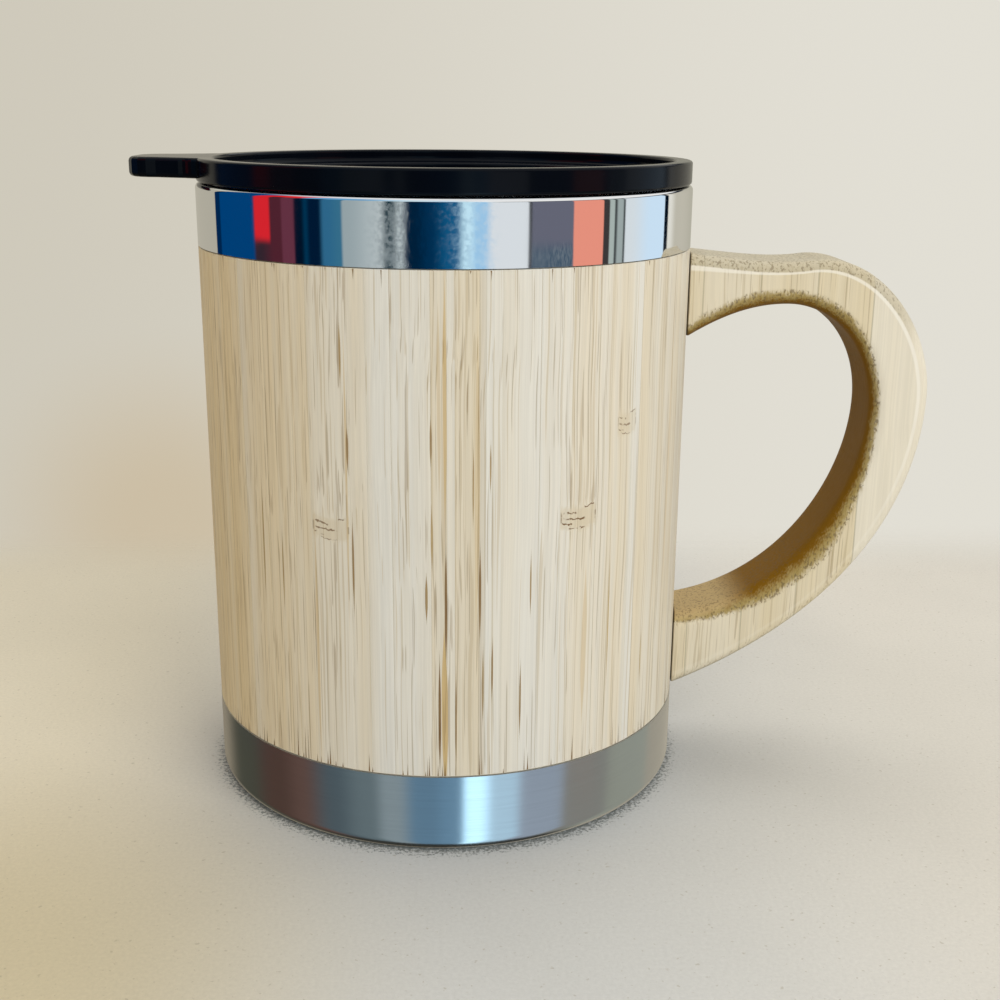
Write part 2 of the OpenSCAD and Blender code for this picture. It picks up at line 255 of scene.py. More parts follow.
def step(value, low, high, start=0.0, end=1.0):
    """A smooth step of a value, from start at low to end at high."""
    inputs = {"Value": value, "From Min": low, "From Max": high, "To Min": start, "To Max": end}
    return out_of("ShaderNodeMapRange", inputs, "Result", interpolation_type="SMOOTHSTEP")


def noise(vector, scale, detail=2.0, roughness=0.5):
    inputs = {"Vector": vector, "Scale": scale, "Detail": detail, "Roughness": roughness}
    return out_of("ShaderNodeTexNoise", inputs)


def grey(value):
    return out_of("ShaderNodeCombineColor", {0: value, 1: value, 2: value})


def tinted(tint, *factors):
    """A colour times one factor, or times one for each of its channels."""
    return [channel * factors[k % len(factors)] for k, channel in enumerate(tint)]


def mix(factor, a, b, blend="MIX"):
    """A mix of two colours."""
    made = put(tree_of((factor, a, b)), "ShaderNodeMix", data_type="RGBA", blend_type=blend,
               clamp_factor=True)
    feed(made.inputs[0], factor)
    for socket, value in ((made.inputs[6], a), (made.inputs[7], b)):
        feed(socket, value if isinstance(value, bpy.types.NodeSocket) else (*value[:3], 1.0))
    return made.outputs[2]


def painted(base, *coats):
    """Lays coats of colour over a base, each given by its mask and its colour."""
    for mask, tint in coats:
        base = mix(mask, base, tint)
    return base


def bands(angle, rows):
    """The colours of a row of bands at an angle, from rows of start, softness and colour."""
    return painted(rows[0][2], *(
        (step(angle, start - soft, start + soft), tint) for start, soft, tint in rows[1:]))


def bump(height, distance, strength=1.0, normal=None):
    inputs = {"Height": height, "Distance": distance, "Strength": strength}
    if normal is not None:
        inputs["Normal"] = normal
    return out_of("ShaderNodeBump", inputs)


def surface(name):
    """A new material: its shader and the object coordinates."""
    material = bpy.data.materials.new(name)
    material.use_nodes = True
    tree = material.node_tree
    return material, tree.nodes["Principled BSDF"], source(tree, "ShaderNodeTexCoord", "Object")


def source(tree, kind, output=0, **settings):
    """An output of a new node without inputs."""
    return put(tree, kind, **settings).outputs[output]


def own(tree, name):
    """The piece's own attribute of a name."""
    return source(tree, "ShaderNodeAttribute", "Fac", attribute_name=name)


def set_shader(shader, **inputs):
    """Sets the shader's sockets; underscores in a name stand for spaces."""
    for name, value in inputs.items():
        feed(shader.inputs[name.replace("_", " ")], value)


# ---- Materials ----

# The sleeve's strips: the angle where one starts, from -Y towards +X in degrees, then the shares
# of gold, of fibres that show, of grey-brown, and how dark the glue line at its start is
STRIP_TONES = (
    (-180, 0.45, 0.5, 0, 0.3), (-169, 0.3, 0.4, 0, 0.1), (-158, 0.15, 0.3, 0, 0.5),
    (-150, 0.3, 0.6, 0.1, 0.1), (-139, 0.6, 0.8, 0, 0.6), (-130, 0.5, 0.5, 0, 0.1),
    (-121, 0.3, 0.4, 0, 0.2), (-113, 0.1, 0.1, 0, 0.5), (-104, 0.5, 0.7, 0, 0.1),
    (-93, 0.6, 0.4, 0, 0.4), (-84, 0.7, 0.5, 0, 0.1), (-71, 0.62, 0.6, 0, 0.1), (-57, 0.55, 0.4, 0, 0.5),
    (-50, 0.5, 0.3, 0, 0.1), (-42, 0.4, 0.5, 0, 0.3), (-34.3, 0.38, 0.55, 0, 0.1), (-29.9, 0.2, 0.5, 0, 0.2),
    (-20.4, 0.08, 0.1, 0, 0.2), (-16.6, 0.05, -0.4, 0, 0.3), (-11.4, 0.08, 0.45, 0, 0.4),
    (-3.2, 0.34, 0.6, 0.05, 0.3), (0.1, 0.1, 0.4, 0, 0), (1.7, 0.26, 0.65, 0.05, 0.1),
    (6.7, 0.26, 0.7, 0.2, 0.2), (8.1, 0.12, 0.3, 0, 0.3), (11.5, 0.04, 0, 0, 0.1),
    (19.7, 0.08, 0.2, 0, 0.6), (24.7, 0.22, 0.35, 0, 0.2),
    (27.1, 0.26, 0.6, 0, 0.0), (34, 0.22, 0.3, 0, 0.7), (35.6, 0.2, 0.2, 0, 0.6), (37.5, 0.2, 0.2, 0, 0.7),
    (44.5, 0.15, 0, 0, 0.2), (47, 0.26, 0.3, 0, 0.7), (57.6, 0.36, 0.4, 0, 0.3), (70, 0.3, 0.4, 0, 0.2),
    (84, 0.2, 0.5, 0, 0.2), (94, 0.35, 0.3, 0, 0.1), (103, 0.55, 0.8, 0, 0.6), (112, 0.4, 0.4, 0, 0.1),
    (122, 0.1, 0.3, 0, 0.4), (130, 0.05, 0.1, 0, 0.1), (139, 0.4, 0.7, 0.1, 0.3), (150, 0.3, 0.3, 0, 0.6),
    (161, 0.25, 0.4, 0, 0.1), (170, 0.4, 0.6, 0, 0.3),
)
# Fibre bundles that show as single dark streaks: angle, lower and upper end above the table and
# half width in millimetres, strength
BROWN_STREAKS = (
    (-1.6, 13, 36, 0.2, 1.0), (-0.2, 32, 54, 0.2, 0.95), (-4.3, 40, 49, 0.2, 0.7), (-3.1, 49, 60, 0.16, 0.5),
    (7.0, 36, 54, 0.18, 0.9), (7.7, 22, 37, 0.14, 0.7), (5.5, 55, 70, 0.12, 0.6), (9.7, 26, 38, 0.14, 0.8),
    (16.0, 19, 34, 0.14, 0.8), (18.1, 40, 52, 0.12, 0.7), (1.9, 13, 34, 0.13, 0.8), (9.1, 61, 70, 0.12, 0.6),
    (-44.3, 38, 62, 0.16, 0.6), (-38.3, 38, 54, 0.14, 0.6), (-20.1, 40, 58, 0.16, 0.8),
    (-20.9, 64, 72, 0.18, 0.8), (-22.1, 77, 88, 0.16, 0.6), (-3.2, 65, 74, 0.16, 0.7),
    (38.6, 24, 50, 0.12, 0.4), (51.0, 22, 34, 0.14, 0.4), (109.0, 22, 46, 0.18, 0.8),
    (133.0, 60, 84, 0.16, 0.7), (172.0, 20, 60, 0.18, 0.8), (-150.0, 30, 56, 0.16, 0.7),
    (-118.0, 50, 80, 0.18, 0.7), (-90.0, 18, 40, 0.16, 0.6), (148.0, 30, 62, 0.14, 0.6),
    (-170.0, 48, 78, 0.14, 0.6),
)
# Golden streaks, as above
GOLD_STREAKS = (
    (-0.5, 8, 42, 0.5, 0.85), (-0.4, 52, 99, 0.3, 0.7), (-1.6, 58, 92, 0.3, 0.35), (6.3, 34, 92, 0.4, 0.35),
    (-29.2, 10, 60, 0.25, 0.5), (-21.3, 34, 92, 0.2, 0.5), (31.6, 18, 50, 0.5, 0.4), (62.0, 30, 95, 0.4, 0.3),
    (169.0, 20, 99, 0.6, 0.6), (-140.0, 8, 60, 0.5, 0.6),
)
# Joints of the bamboo stem: angle, height, half width of the strip in millimetres, strength
STEM_JOINTS = (
    (29.4, 55.9, 3.4, 1.0), (-25.3, 54.6, 3.2, 0.8), (42.6, 69.9, 2.2, 0.7), (107.5, 60.0, 3.2, 0.9),
    (-134.5, 48.0, 3.2, 0.9), (165.5, 71.0, 3.2, 0.8),
)


def bamboo_grain():
    """A node group that reads a place in the wood and gives its fibres, all along Z. Density says
    how many fibres show there."""
    tree = bpy.data.node_groups.new("bamboo_grain", "ShaderNodeTree")
    for name, kind in (("Place", "Vector"), ("Offset", "Float"), ("Density", "Float")):
        tree.interface.new_socket(name, in_out="INPUT", socket_type="NodeSocket" + kind)
    for name in ("Fibre", "Broad", "Line", "Hair", "Spindle", "Pore"):
        tree.interface.new_socket(name, in_out="OUTPUT", socket_type="NodeSocketFloat")
    inside, outside = put(tree, "NodeGroupInput"), put(tree, "NodeGroupOutput")
    place, offset, density = (inside.outputs[name] for name in ("Place", "Offset", "Density"))
    sway = scaled(noise(place, 28, 1.0), 1.4 * MM, offset)
    place = vector_maths("ADD", place, place_xyz(sway, sway, offset))

    def drawn(run, scale, detail=1.0, roughness=0.5):
        """Noise whose cells are 1 / run times as tall as they are wide."""
        return noise(vector_times(place, (1.0, 1.0, run)), scale, detail, roughness)

    dense = plus(density, scaled(drawn(0.2, 120), 1.4, -1.2))

    def picked(value, weight, low, high):
        """The peaks of a noise, more of them where the fibres are dense."""
        return step(scaled(dense, weight, value), low, high)

    for name, value in (
        ("Fibre", drawn(0.006, 2600, 3.0, 0.65)),
        ("Broad", drawn(0.004, 320, 2.0)),
        ("Line", picked(drawn(0.006, 2300), 0.08, 0.6, 0.64)),
        ("Hair", picked(drawn(0.008, 3000), 0.1, 0.645, 0.675)),
        ("Spindle", picked(drawn(0.03, 1900), 0.16, 0.68, 0.73)),
        ("Pore", step(drawn(0.6, 2300, 2.0), 0.55, 0.6)),
    ):
        feed(outside.inputs[name], value)
    return tree


def use_grain(place, offset, density):
    group = put(place.id_data, "ShaderNodeGroup",
                node_tree=bpy.data.node_groups.get("bamboo_grain") or bamboo_grain())
    for name, value in (("Place", place), ("Offset", offset), ("Density", density)):
        feed(group.inputs[name], value)
    return group.outputs


def streaks(arc, z, rows):
    """Upright streaks with tapering ends, from rows of angle, ends, half width and strength."""
    shown = 0.0
    for degrees, low, high, half, strength in rows:
        off = apart(arc, math.radians(degrees) * BODY_R)
        upward = step(z, low * MM, (0.6 * low + 0.4 * high) * MM)
        downward = step(z, high * MM, (0.4 * low + 0.6 * high) * MM)
        wide = times(times(upward, downward), half * MM)
        shown = most(shown, step(minus(off, wide), 0.04 * MM, -0.08 * MM, 0.0, strength))
    return shown


# The dashes of a stem joint: level in millimetres, half length and place across in shares of the
# joint's half width, thickness in millimetres
JOINT_DASHES = ((0.9, 0.4, -0.5, 0.16), (-0.1, 0.65, -0.25, 0.2), (-0.95, 0.3, -0.65, 0.14),
                (1.7, 0.3, 0.6, 0.14), (-1.6, 0.5, -0.1, 0.09))


def stem_joints(place, arc, z):
    """The marks of the stem's joints: dark marks, the pale ridge, and the thick fibres above it."""
    marks, ridges, above = 0.0, 0.0, 0.0
    ragged = scaled(noise(place, 1000, 3.0, 0.65), 1.6 * MM, -0.8 * MM)
    broken = step(noise(place, 900, 2.0), 0.36, 0.48)
    for degrees, height, half, strength in STEM_JOINTS:
        off = maths("DIVIDE", minus(arc, math.radians(degrees) * BODY_R), half * MM)
        across = maths("ABSOLUTE", off)
        inside = step(across, 1.04, 0.98, 0.0, strength)
        bow_up = scaled(times(across, across), -0.5 * MM, minus(z, height * MM))
        up = scaled(ragged, 0.7, bow_up)
        ends = step(across, 0.9, 0.97, 0.0, 0.6)
        dark = times(step(maths("ABSOLUTE", up), 1.1 * MM, 0.6 * MM), ends)
        for level, half_l, shift, thick in JOINT_DASHES:
            dash = step(apart(up, level * MM), thick * MM, 0.4 * thick * MM)
            dark = most(dark, times(dash, step(apart(off, shift), half_l, 0.8 * half_l)))
        marks = most(marks, times(times(dark, broken), inside))
        ridge = step(maths("ABSOLUTE", scaled(ragged, 0.8, up)), 2.4 * MM, 1.2 * MM)
        ridges = most(ridges, times(ridge, inside))
        tall = times(step(up, 1.2 * MM, 3.2 * MM), step(up, 20 * MM, 5 * MM))
        above = most(above, times(tall, inside))
    return marks, ridges, above


def sanded_bamboo(settings):
    """The sleeve: upright strips, fine fibres, streaks and stem joints."""
    material, shader, place = surface("sanded_bamboo")
    tone, edge, gold_share, fibre_share, grey_share = (
        own(place.id_data, "strip_" + name) for name in ("tone", "edge", "gold", "fibre", "grey"))
    x, y, z = xyz_of(place)
    sway = scaled(noise(place, 40, 1.0), 0.5 * MM, -0.25 * MM)
    arc = scaled(azimuth(x, y), BODY_R, sway)
    marks, ridges, above = stem_joints(place, arc, z)
    gold = streaks(arc, z, GOLD_STREAKS)

    density = scaled(above, 0.4, scaled(ridges, -0.5, fibre_share))
    grain = use_grain(place, times(tone, 0.37), density)
    broad = scaled(grain["Broad"], 0.8, -0.4)
    warm = scaled(tone, 0.12, plus(gold_share, broad))
    base = mix(warm, settings.cream, settings.golden)
    base = mix(grey_share, base, (0.4, 0.32, 0.2))
    base = mix(1.0, base, grey(step(grain["Fibre"], 0.3, 0.7, 0.93, 1.04)), "MULTIPLY")
    dark = tinted(settings.brown, 1.6, 2.0, 2.6)
    # Paler along the lower chamfer and just above it
    pale_edge_line = step(z, BASE_H + 0.42 * MM, BASE_H + 0.28 * MM, 0.0, 0.8)
    base = painted(
        base, (times(grain["Line"], 0.4), (0.48, 0.38, 0.22)),
        (gold, tinted(settings.golden, 0.8, 0.72, 0.55)), (times(grain["Spindle"], 0.36), dark),
        (times(grain["Hair"], 0.44), dark), (edge, dark), (times(ridges, 0.3), (0.52, 0.4, 0.2)),
        (marks, settings.brown), (pale_edge_line, (0.86, 0.81, 0.68)))
    cut = most(marks, most(grain["Hair"], grain["Spindle"]))
    relief = minus(times(grain["Fibre"], 0.4), cut)
    set_shader(shader, Base_Color=base, Roughness=step(grain["Fibre"], 0.3, 0.7, 0.5, 0.42),
               Specular_IOR_Level=0.35, Normal=bump(relief, 0.02 * MM, 0.6))
    return material


def carved_bamboo(settings):
    """The handle: laminated bamboo cut across its fibres on the top and round the finger gap."""
    material, shader, place = surface("carved_bamboo")
    tree = place.id_data
    inner, outer = own(tree, "inner_side"), own(tree, "outer_side")
    x, y, z = xyz_of(place)
    upward = xyz_of(source(tree, "ShaderNodeNewGeometry", "Normal"))[2]
    board = maths("DIVIDE", minus(x, 4.5 * MM), settings.ply)
    number = maths("FLOOR", board)
    tone = out_of("ShaderNodeTexWhiteNoise", {"W": number}, "Value", noise_dimensions="1D")
    near = apart(maths("FRACT", board), 0.5)
    glue = times(step(near, 0.484, 0.492), step(x, 84 * MM, 83 * MM))
    plain = step(x, 74.3 * MM, 74.6 * MM)
    grain = use_grain(place, times(number, 0.23), scaled(plain, -2.0, 0.5))
    shoulder = times(step(z, 76 * MM, 86 * MM), step(outer, 0.5, 0.58))
    end_grain = most(step(maths("ABSOLUTE", upward), 0.45, 0.75), shoulder)

    warm = scaled(tone, 0.3, scaled(grain["Broad"], 1.1, -0.5))
    warm = times(warm, scaled(plain, -0.75, 1.0))
    pale = mix(plain, settings.front, (0.78, 0.74, 0.63))
    base = mix(warm, pale, tinted(settings.front, 0.9, 0.83, 0.66))
    base = mix(1.0, base, grey(step(grain["Fibre"], 0.3, 0.7, 0.95, 1.04)), "MULTIPLY")
    # Painted highlight: a pale line along each face where the outer rounding starts, strongest high up
    pale_edge_line = times(step(apart(outer, 0.47), 0.11, 0.04), step(z, 35 * MM, 75 * MM, 0.1, 0.6))
    drawn = vector_times(place, (1.0, 1.0, 0.35))
    fine = scaled(noise(drawn, 3600, 2.0), 0.7, -0.35)
    coarse = scaled(noise(place, 420, 2.0), 0.6, -0.3)
    # Dark end grain round the finger gap: partly its own colour, partly painted shade
    dark_end_grain_and_shade = plus(inner, times(plus(fine, coarse), step(inner, 0.0, 0.2)))
    # Painted light: where that end grain faces upwards it is painted paler olive, as if lit from above
    lit = times(step(upward, 0.3, 0.75), step(x, 57 * MM, 50 * MM))
    lit = times(lit, step(inner, 0.1, 0.5, 0.0, 0.8))
    rim = times(step(inner, 0.02, 0.2), step(inner, 1.2, 0.5))
    rough_top = times(end_grain, step(x, 83 * MM, 76 * MM, 0.0, 0.8))
    specks = times(grain["Pore"], most(rough_top, rim))
    away = maths("SQRT", plus(times(x, x), times(y, y)))
    # Painted shadow: near-black in the joint where the handle meets the sleeve
    seam = step(away, BODY_R + 0.3 * MM, BODY_R + 0.2 * MM, 0.0, 0.9)
    base = painted(
        base, (times(grain["Line"], 0.42), (0.46, 0.37, 0.22)),
        (times(grain["Hair"], 0.4), (0.3, 0.21, 0.1)), (times(glue, 0.5), (0.36, 0.32, 0.22)),
        (times(end_grain, 0.65), (0.46, 0.41, 0.29)), (pale_edge_line, (0.93, 0.91, 0.84)),
        (step(dark_end_grain_and_shade, 0.0, 0.6, 0.0, 0.9), tinted(settings.inner, 1.7, 2.6, 17.0)),
        (step(dark_end_grain_and_shade, 0.6, 1.1), settings.inner), (lit, (0.56, 0.43, 0.22)),
        (times(specks, 0.6), (0.14, 0.1, 0.05)), (seam, (0.05, 0.03, 0.012)))
    relief = minus(times(grain["Fibre"], 0.4), most(specks, glue))
    set_shader(shader, Base_Color=base, Roughness=step(grain["Fibre"], 0.3, 0.7, 0.5, 0.4),
               Specular_IOR_Level=0.1, Normal=bump(relief, 0.03 * MM, 0.7))
    return material


def torn_fibre(settings):
    """Torn and dark fibres: the paler a fibre's own paleness, the more golden."""
    material, shader, place = surface("torn_fibre")
    pale = own(place.id_data, "paleness")
    drawn = vector_times(place, (1.0, 1.0, 0.1))
    dust = scaled(noise(drawn, 2500, 2.0), 0.4, minus(pale, 0.1))
    base = mix(dust, settings.brown, tinted(settings.golden, 0.9))
    set_shader(shader, Base_Color=base, Roughness=0.7)
    return material


def mirror_steel(settings):
    """The polished band, with the faint waviness and wiping marks of buffed sheet."""
    material, shader, place = surface("mirror_steel")
    upright = vector_times(place, (1.0, 1.0, 0.25))
    smear = noise(upright, 160, 3.0)
    haze = step(smear, 0.35, 0.75, 0.025, 0.07)
    x, y, z = xyz_of(place)
    angle = maths("DEGREES", azimuth(x, y))
    wiped = 0.0
    for middle, half in ((-12.5, 5.5), (4.0, 8.5), (106.0, 9.0), (-98.0, 7.0), (171.0, 6.0)):
        wiped = most(wiped, step(apart(angle, middle), half, 0.6 * half))
    fine = noise(place, 1500, 3.0)
    haze = plus(haze, times(wiped, step(fine, 0.35, 0.65, 0.02, 0.12)))
    wave = bump(noise(upright, 220, 1.0), 0.004 * MM, 0.5)
    scuffed = bump(times(fine, wiped), 0.004 * MM, 0.6, wave)
    set_shader(shader, Base_Color=(*settings.bright, 1.0), Metallic=1.0, Roughness=haze, Normal=scuffed)
    return material


def brushed_steel(settings):
    """The base, brushed round the axis."""
    material, shader, place = surface("brushed_steel")
    rings = vector_times(place, (0.008, 0.008, 1.0))
    lines = noise(rings, 5200, 4.0, 0.7)
    cloud = noise(place, 45, 3.0)
    tint = mix(step(lines, 0.3, 0.7, 0.0, 0.16), settings.brushed, tinted(settings.brushed, 0.72))
    rough = plus(step(lines, 0.3, 0.7, 0.13, 0.17), step(cloud, 0.35, 0.7, 0.0, 0.03))
    around = source(place.id_data, "ShaderNodeTangent", direction_type="RADIAL", axis="Z")
    set_shader(shader, Base_Color=tint, Metallic=1.0, Roughness=rough, Anisotropic=0.85,
               Anisotropic_Rotation=0.25, Tangent=around, Normal=bump(lines, 0.003 * MM, 0.5))
    return material


def satin_steel(settings):
    """The inner cup, drawn and lightly brushed."""
    material, shader, place = surface("satin_steel")
    rings = vector_times(place, (0.05, 0.05, 1.0))
    lines = noise(rings, 2600, 3.0, 0.6)
    tint = mix(step(lines, 0.3, 0.7, 0.0, 0.3), settings.satin, tinted(settings.satin, 0.8))
    set_shader(shader, Base_Color=tint, Metallic=1.0, Roughness=step(lines, 0.3, 0.7, 0.26, 0.36),
               Normal=bump(lines, 0.004 * MM, 0.4))
    return material


def screw_steel(settings):
    material, shader, place = surface("screw_steel")
    grime = noise(place, 900, 3.0)
    tint = mix(grime, settings.metal, tinted(settings.metal, 0.6))
    set_shader(shader, Base_Color=tint, Metallic=1.0, Roughness=step(grime, 0.3, 0.7, 0.3, 0.5))
    return material


def black_plastic(name, tint, low, high, grain, depth):
    """Moulded black plastic, from satin-gloss to fine-textured."""
    material, shader, place = surface(name)
    cloud = noise(place, 70, 3.0)
    shade = mix(step(cloud, 0.3, 0.7), tint, tinted(tint, 1.35))
    texture = noise(place, grain, 2.0)
    set_shader(shader, Base_Color=shade, Roughness=step(cloud, 0.3, 0.7, low, high),
               Specular_IOR_Level=0.09, Normal=bump(texture, depth, 0.5))
    return material


def milky_silicone(settings):
    material, shader, place = surface("milky_silicone")
    cloud = noise(place, 160, 3.0)
    shade = mix(step(cloud, 0.3, 0.7), settings.silicone, tinted(settings.silicone, 0.9))
    set_shader(shader, Base_Color=shade, Roughness=step(cloud, 0.3, 0.7, 0.42, 0.52),
               Subsurface_Weight=0.25, Subsurface_Scale=1.5 * MM, Normal=bump(cloud, 0.004 * MM, 0.4))
    return material


# ---- Mesh helpers ----


def bow(centre, radius, start, end, steps):
    """Points on an arc, its angles in degrees."""
    turn = [math.radians(start + (end - start) * k / steps) for k in range(steps + 1)]
    return [(centre[0] + radius * math.cos(a), centre[1] + radius * math.sin(a)) for a in turn]


def loose(name, vertices, edges=(), faces=()):
    """A new mesh object in the scene."""
    mesh = bpy.data.meshes.new(name)
    mesh.from_pydata([tuple(v) for v in vertices], edges, faces)
    piece = bpy.data.objects.new(name, mesh)
    bpy.context.scene.collection.objects.link(piece)
    return piece


def new_piece(name, vertices, faces, material):
    """A smooth-shaded mesh object whose faces point outwards, with its sharp edges kept."""
    piece = loose(name, vertices, faces=faces)
    tidy_mesh(piece.data)
    piece.data.materials.append(material)
    return piece


def mark(piece, name, values):
    """Gives each point of a piece its value of a named attribute."""
    attribute = piece.data.attributes.new(name, "FLOAT", "POINT")
    attribute.data.foreach_set("value", list(values))


def tidy_mesh(mesh, angle=32.0):
    """Merges doubles, turns the faces outwards and marks the sharp edges."""
    work = bmesh.new()
    work.from_mesh(mesh)
    bmesh.ops.remove_doubles(work, verts=work.verts, dist=0.0005 * MM)
    bmesh.ops.recalc_face_normals(work, faces=work.faces)
    if work.calc_volume(signed=True) < 0:
        bmesh.ops.reverse_faces(work, faces=work.faces)
    work.to_mesh(mesh)
    work.free()
    mesh.shade_smooth()
    mesh.set_sharp_from_angle(angle=math.radians(angle))


def lathe(name, section, steps, material):
    """Turns a closed section of (radius, height) points round the Z axis."""
    turn = np.linspace(0, 2 * math.pi, steps, endpoint=False)
    vertices = [(r * math.cos(a), r * math.sin(a), z) for a in turn for r, z in section]
    n = len(section)
    faces = []
    for k in range(steps):
        here, after = k * n, (k + 1) % steps * n
        for i in range(n):
            j = (i + 1) % n
            if section[i][0] > 0 or section[j][0] > 0:
                faces.append((here + i, here + j, after + j, after + i))
    return new_piece(name, vertices, faces, material)


def grow(piece, tree, inputs):
    """Runs a geometry tree on a piece and turns the result into its plain mesh."""
    modifier = piece.modifiers.new(tree.name, "NODES")
    modifier.node_group = tree
    for item in tree.interface.items_tree:
        if item.item_type == "SOCKET" and item.in_out == "INPUT" and item.name in inputs:
            modifier[item.identifier] = inputs[item.name]
    bpy.context.view_layer.update()
    seen = piece.evaluated_get(bpy.context.evaluated_depsgraph_get())
    made = bpy.data.meshes.new_from_object(seen)
    piece.modifiers.clear()
    piece.data = made
    return piece


def new_tree(name, **inputs):
    """A geometry tree with named inputs, and the sockets that give them."""
    kinds = {int: "NodeSocketInt", float: "NodeSocketFloat", str: "NodeSocketMaterial"}
    tree = bpy.data.node_groups.new(name, "GeometryNodeTree")
    tree.interface.new_socket("Geometry", in_out="INPUT", socket_type="NodeSocketGeometry")
    for label, kind in inputs.items():
        tree.interface.new_socket(label, in_out="INPUT", socket_type=kinds[kind])
    tree.interface.new_socket("Geometry", in_out="OUTPUT", socket_type="NodeSocketGeometry")
    return tree, put(tree, "NodeGroupInput").outputs


def end_tree(geometry, material):
    """Ends a tree in Realize Instances and Set Material."""
    real = out_of("GeometryNodeRealizeInstances", {"Geometry": geometry})
    shown = out_of("GeometryNodeSetMaterial", {"Geometry": real, "Material": material})
    tree = geometry.id_data
    feed(put(tree, "NodeGroupOutput").inputs[0], shown)
    return tree


def store(geometry, name, value):
    return out_of("GeometryNodeStoreNamedAttribute", {"Geometry": geometry, "Name": name, "Value": value},
                  data_type="FLOAT", domain="POINT")


def recall(tree, name):
    made = put(tree, "GeometryNodeInputNamedAttribute", {"Name": name}, data_type="FLOAT")
    return made.outputs["Attribute"]


def chance(low, high, number, seed):
    """A random value, the same for the same number and seed."""
    inputs = {2: low, 3: high, "ID": number, "Seed": seed}
    return out_of("FunctionNodeRandomValue", inputs, 1, data_type="FLOAT")


def put_at(geometry, position):
    return out_of("GeometryNodeSetPosition", {"Geometry": geometry, "Position": position})


def raised(geometry, height):
    return out_of("GeometryNodeTransform", {"Geometry": geometry, "Translation": place_xyz(0.0, 0.0, height)})


def swept(path, section, caps=False):
    return out_of("GeometryNodeCurveToMesh", {"Curve": path, "Profile Curve": section, "Fill Caps": caps})


def scattered(points, instance, turn, wide, tall):
    """An instance on each point, turned about Z, with its own width and height."""
    rotation = out_of("FunctionNodeEulerToRotation", {0: place_xyz(0.0, 0.0, turn)})
    scale = place_xyz(1.0, wide, tall)
    return out_of("GeometryNodeInstanceOnPoints", {"Points": points, "Instance": instance,
                                                   "Rotation": rotation, "Scale": scale})


# ---- Geometry trees ----


def strip_tree():
    """Turns the sleeve's section round the axis as strips, with a groove at each glue line. The
    strips' borders are loose points whose X is an angle. It keeps a tone for each strip and marks
    its edges."""
    tree, given = new_tree("bamboo_strips", Strips=int, Columns=int, Borders_from=int, Groove=float,
                           Skin=float, Seed=int, Material=str)
    x, _, z = xyz_of(source(tree, "GeometryNodeInputPosition"))
    section = store(store(given["Geometry"], "section_r", x), "section_z", z)
    section = out_of("GeometryNodeMeshToCurve", {"Mesh": section})

    total = times(given["Strips"], given["Columns"])
    path = out_of("GeometryNodeCurvePrimitiveCircle", {"Resolution": total, "Radius": 1.0})
    index = source(tree, "GeometryNodeInputIndex")
    strip = maths("FLOOR", maths("DIVIDE", plus(index, 0.5), given["Columns"]))
    column = minus(index, times(strip, given["Columns"]))

    def border(number):
        at = {"Geometry": given["Geometry"], "Value": x, "Index": plus(number, given["Borders_from"])}
        return out_of("GeometryNodeSampleIndex", at, data_type="FLOAT", domain="POINT")

    start, end = border(strip), border(plus(strip, 1.0))
    inner = out_of("ShaderNodeMapRange", {
        "Value": column, "From Min": 1.0, "From Max": minus(given["Columns"], 1.0),
        "To Min": 0.014, "To Max": 0.986})
    first = maths("LESS_THAN", column, 0.5)
    angle = plus(start, times(times(inner, minus(1.0, first)), minus(end, start)))
    tone = chance(0.0, 1.0, strip, plus(given["Seed"], 11.0))
    for name, value in (("angle", angle), ("tone", tone), ("start", first), ("number", strip)):
        path = store(path, "strip_" + name, value)
    ring = swept(path, section)

    radius, turn = recall(tree, "section_r"), recall(tree, "strip_angle")
    outside = maths("GREATER_THAN", radius, given["Skin"])
    cut = times(times(recall(tree, "strip_start"), given["Groove"]), outside)
    radius = minus(radius, cut)
    spot = place_xyz(times(radius, maths("COSINE", turn)), times(radius, maths("SINE", turn)),
                     recall(tree, "section_z"))
    return end_tree(put_at(ring, spot), given["Material"])


def tear_tree():
    """Sets copies of one torn fibre at random places round a ring, each with its own length."""
    tree, given = new_tree("fibre_tears", Count=int, Height=float, Shortest=float, Longest=float,
                           Seed=int, Material=str)
    spots = out_of("GeometryNodeMeshLine", {"Count": given["Count"], "Offset": (0.0, 0.0, 0.0)})
    index = source(tree, "GeometryNodeInputIndex")
    turn = chance(0.0, 2 * math.pi, index, given["Seed"])
    drawn = chance(0.0, 1.0, index, plus(given["Seed"], 5.0))
    longer = times(maths("POWER", drawn, 2.5), minus(given["Longest"], given["Shortest"]))
    wide = chance(0.5, 1.1, index, plus(given["Seed"], 9.0))
    tears = scattered(spots, given["Geometry"], turn, wide, plus(given["Shortest"], longer))
    return end_tree(raised(tears, given["Height"]), given["Material"])


def streak_tree():
    """A flat sliver that tapers at both ends on each of the piece's points, which give its angle,
    width and height."""
    tree, given = new_tree("fibre_streaks", Radius=float, Material=str)
    size = {"Size X": 1.0, "Size Y": 1.0, "Vertices X": 13, "Vertices Y": 2}
    sliver = put(tree, "GeometryNodeMeshGrid", size).outputs[0]
    x, y, _ = xyz_of(source(tree, "GeometryNodeInputPosition"))
    taper = step(maths("ABSOLUTE", x), 0.5, 0.1)
    sliver = put_at(sliver, place_xyz(given["Radius"], times(y, taper), plus(x, 0.5)))
    turn, wide, tall = (recall(tree, name) for name in ("turn", "wide", "tall"))
    return end_tree(scattered(given["Geometry"], sliver, turn, wide, tall), given["Material"])


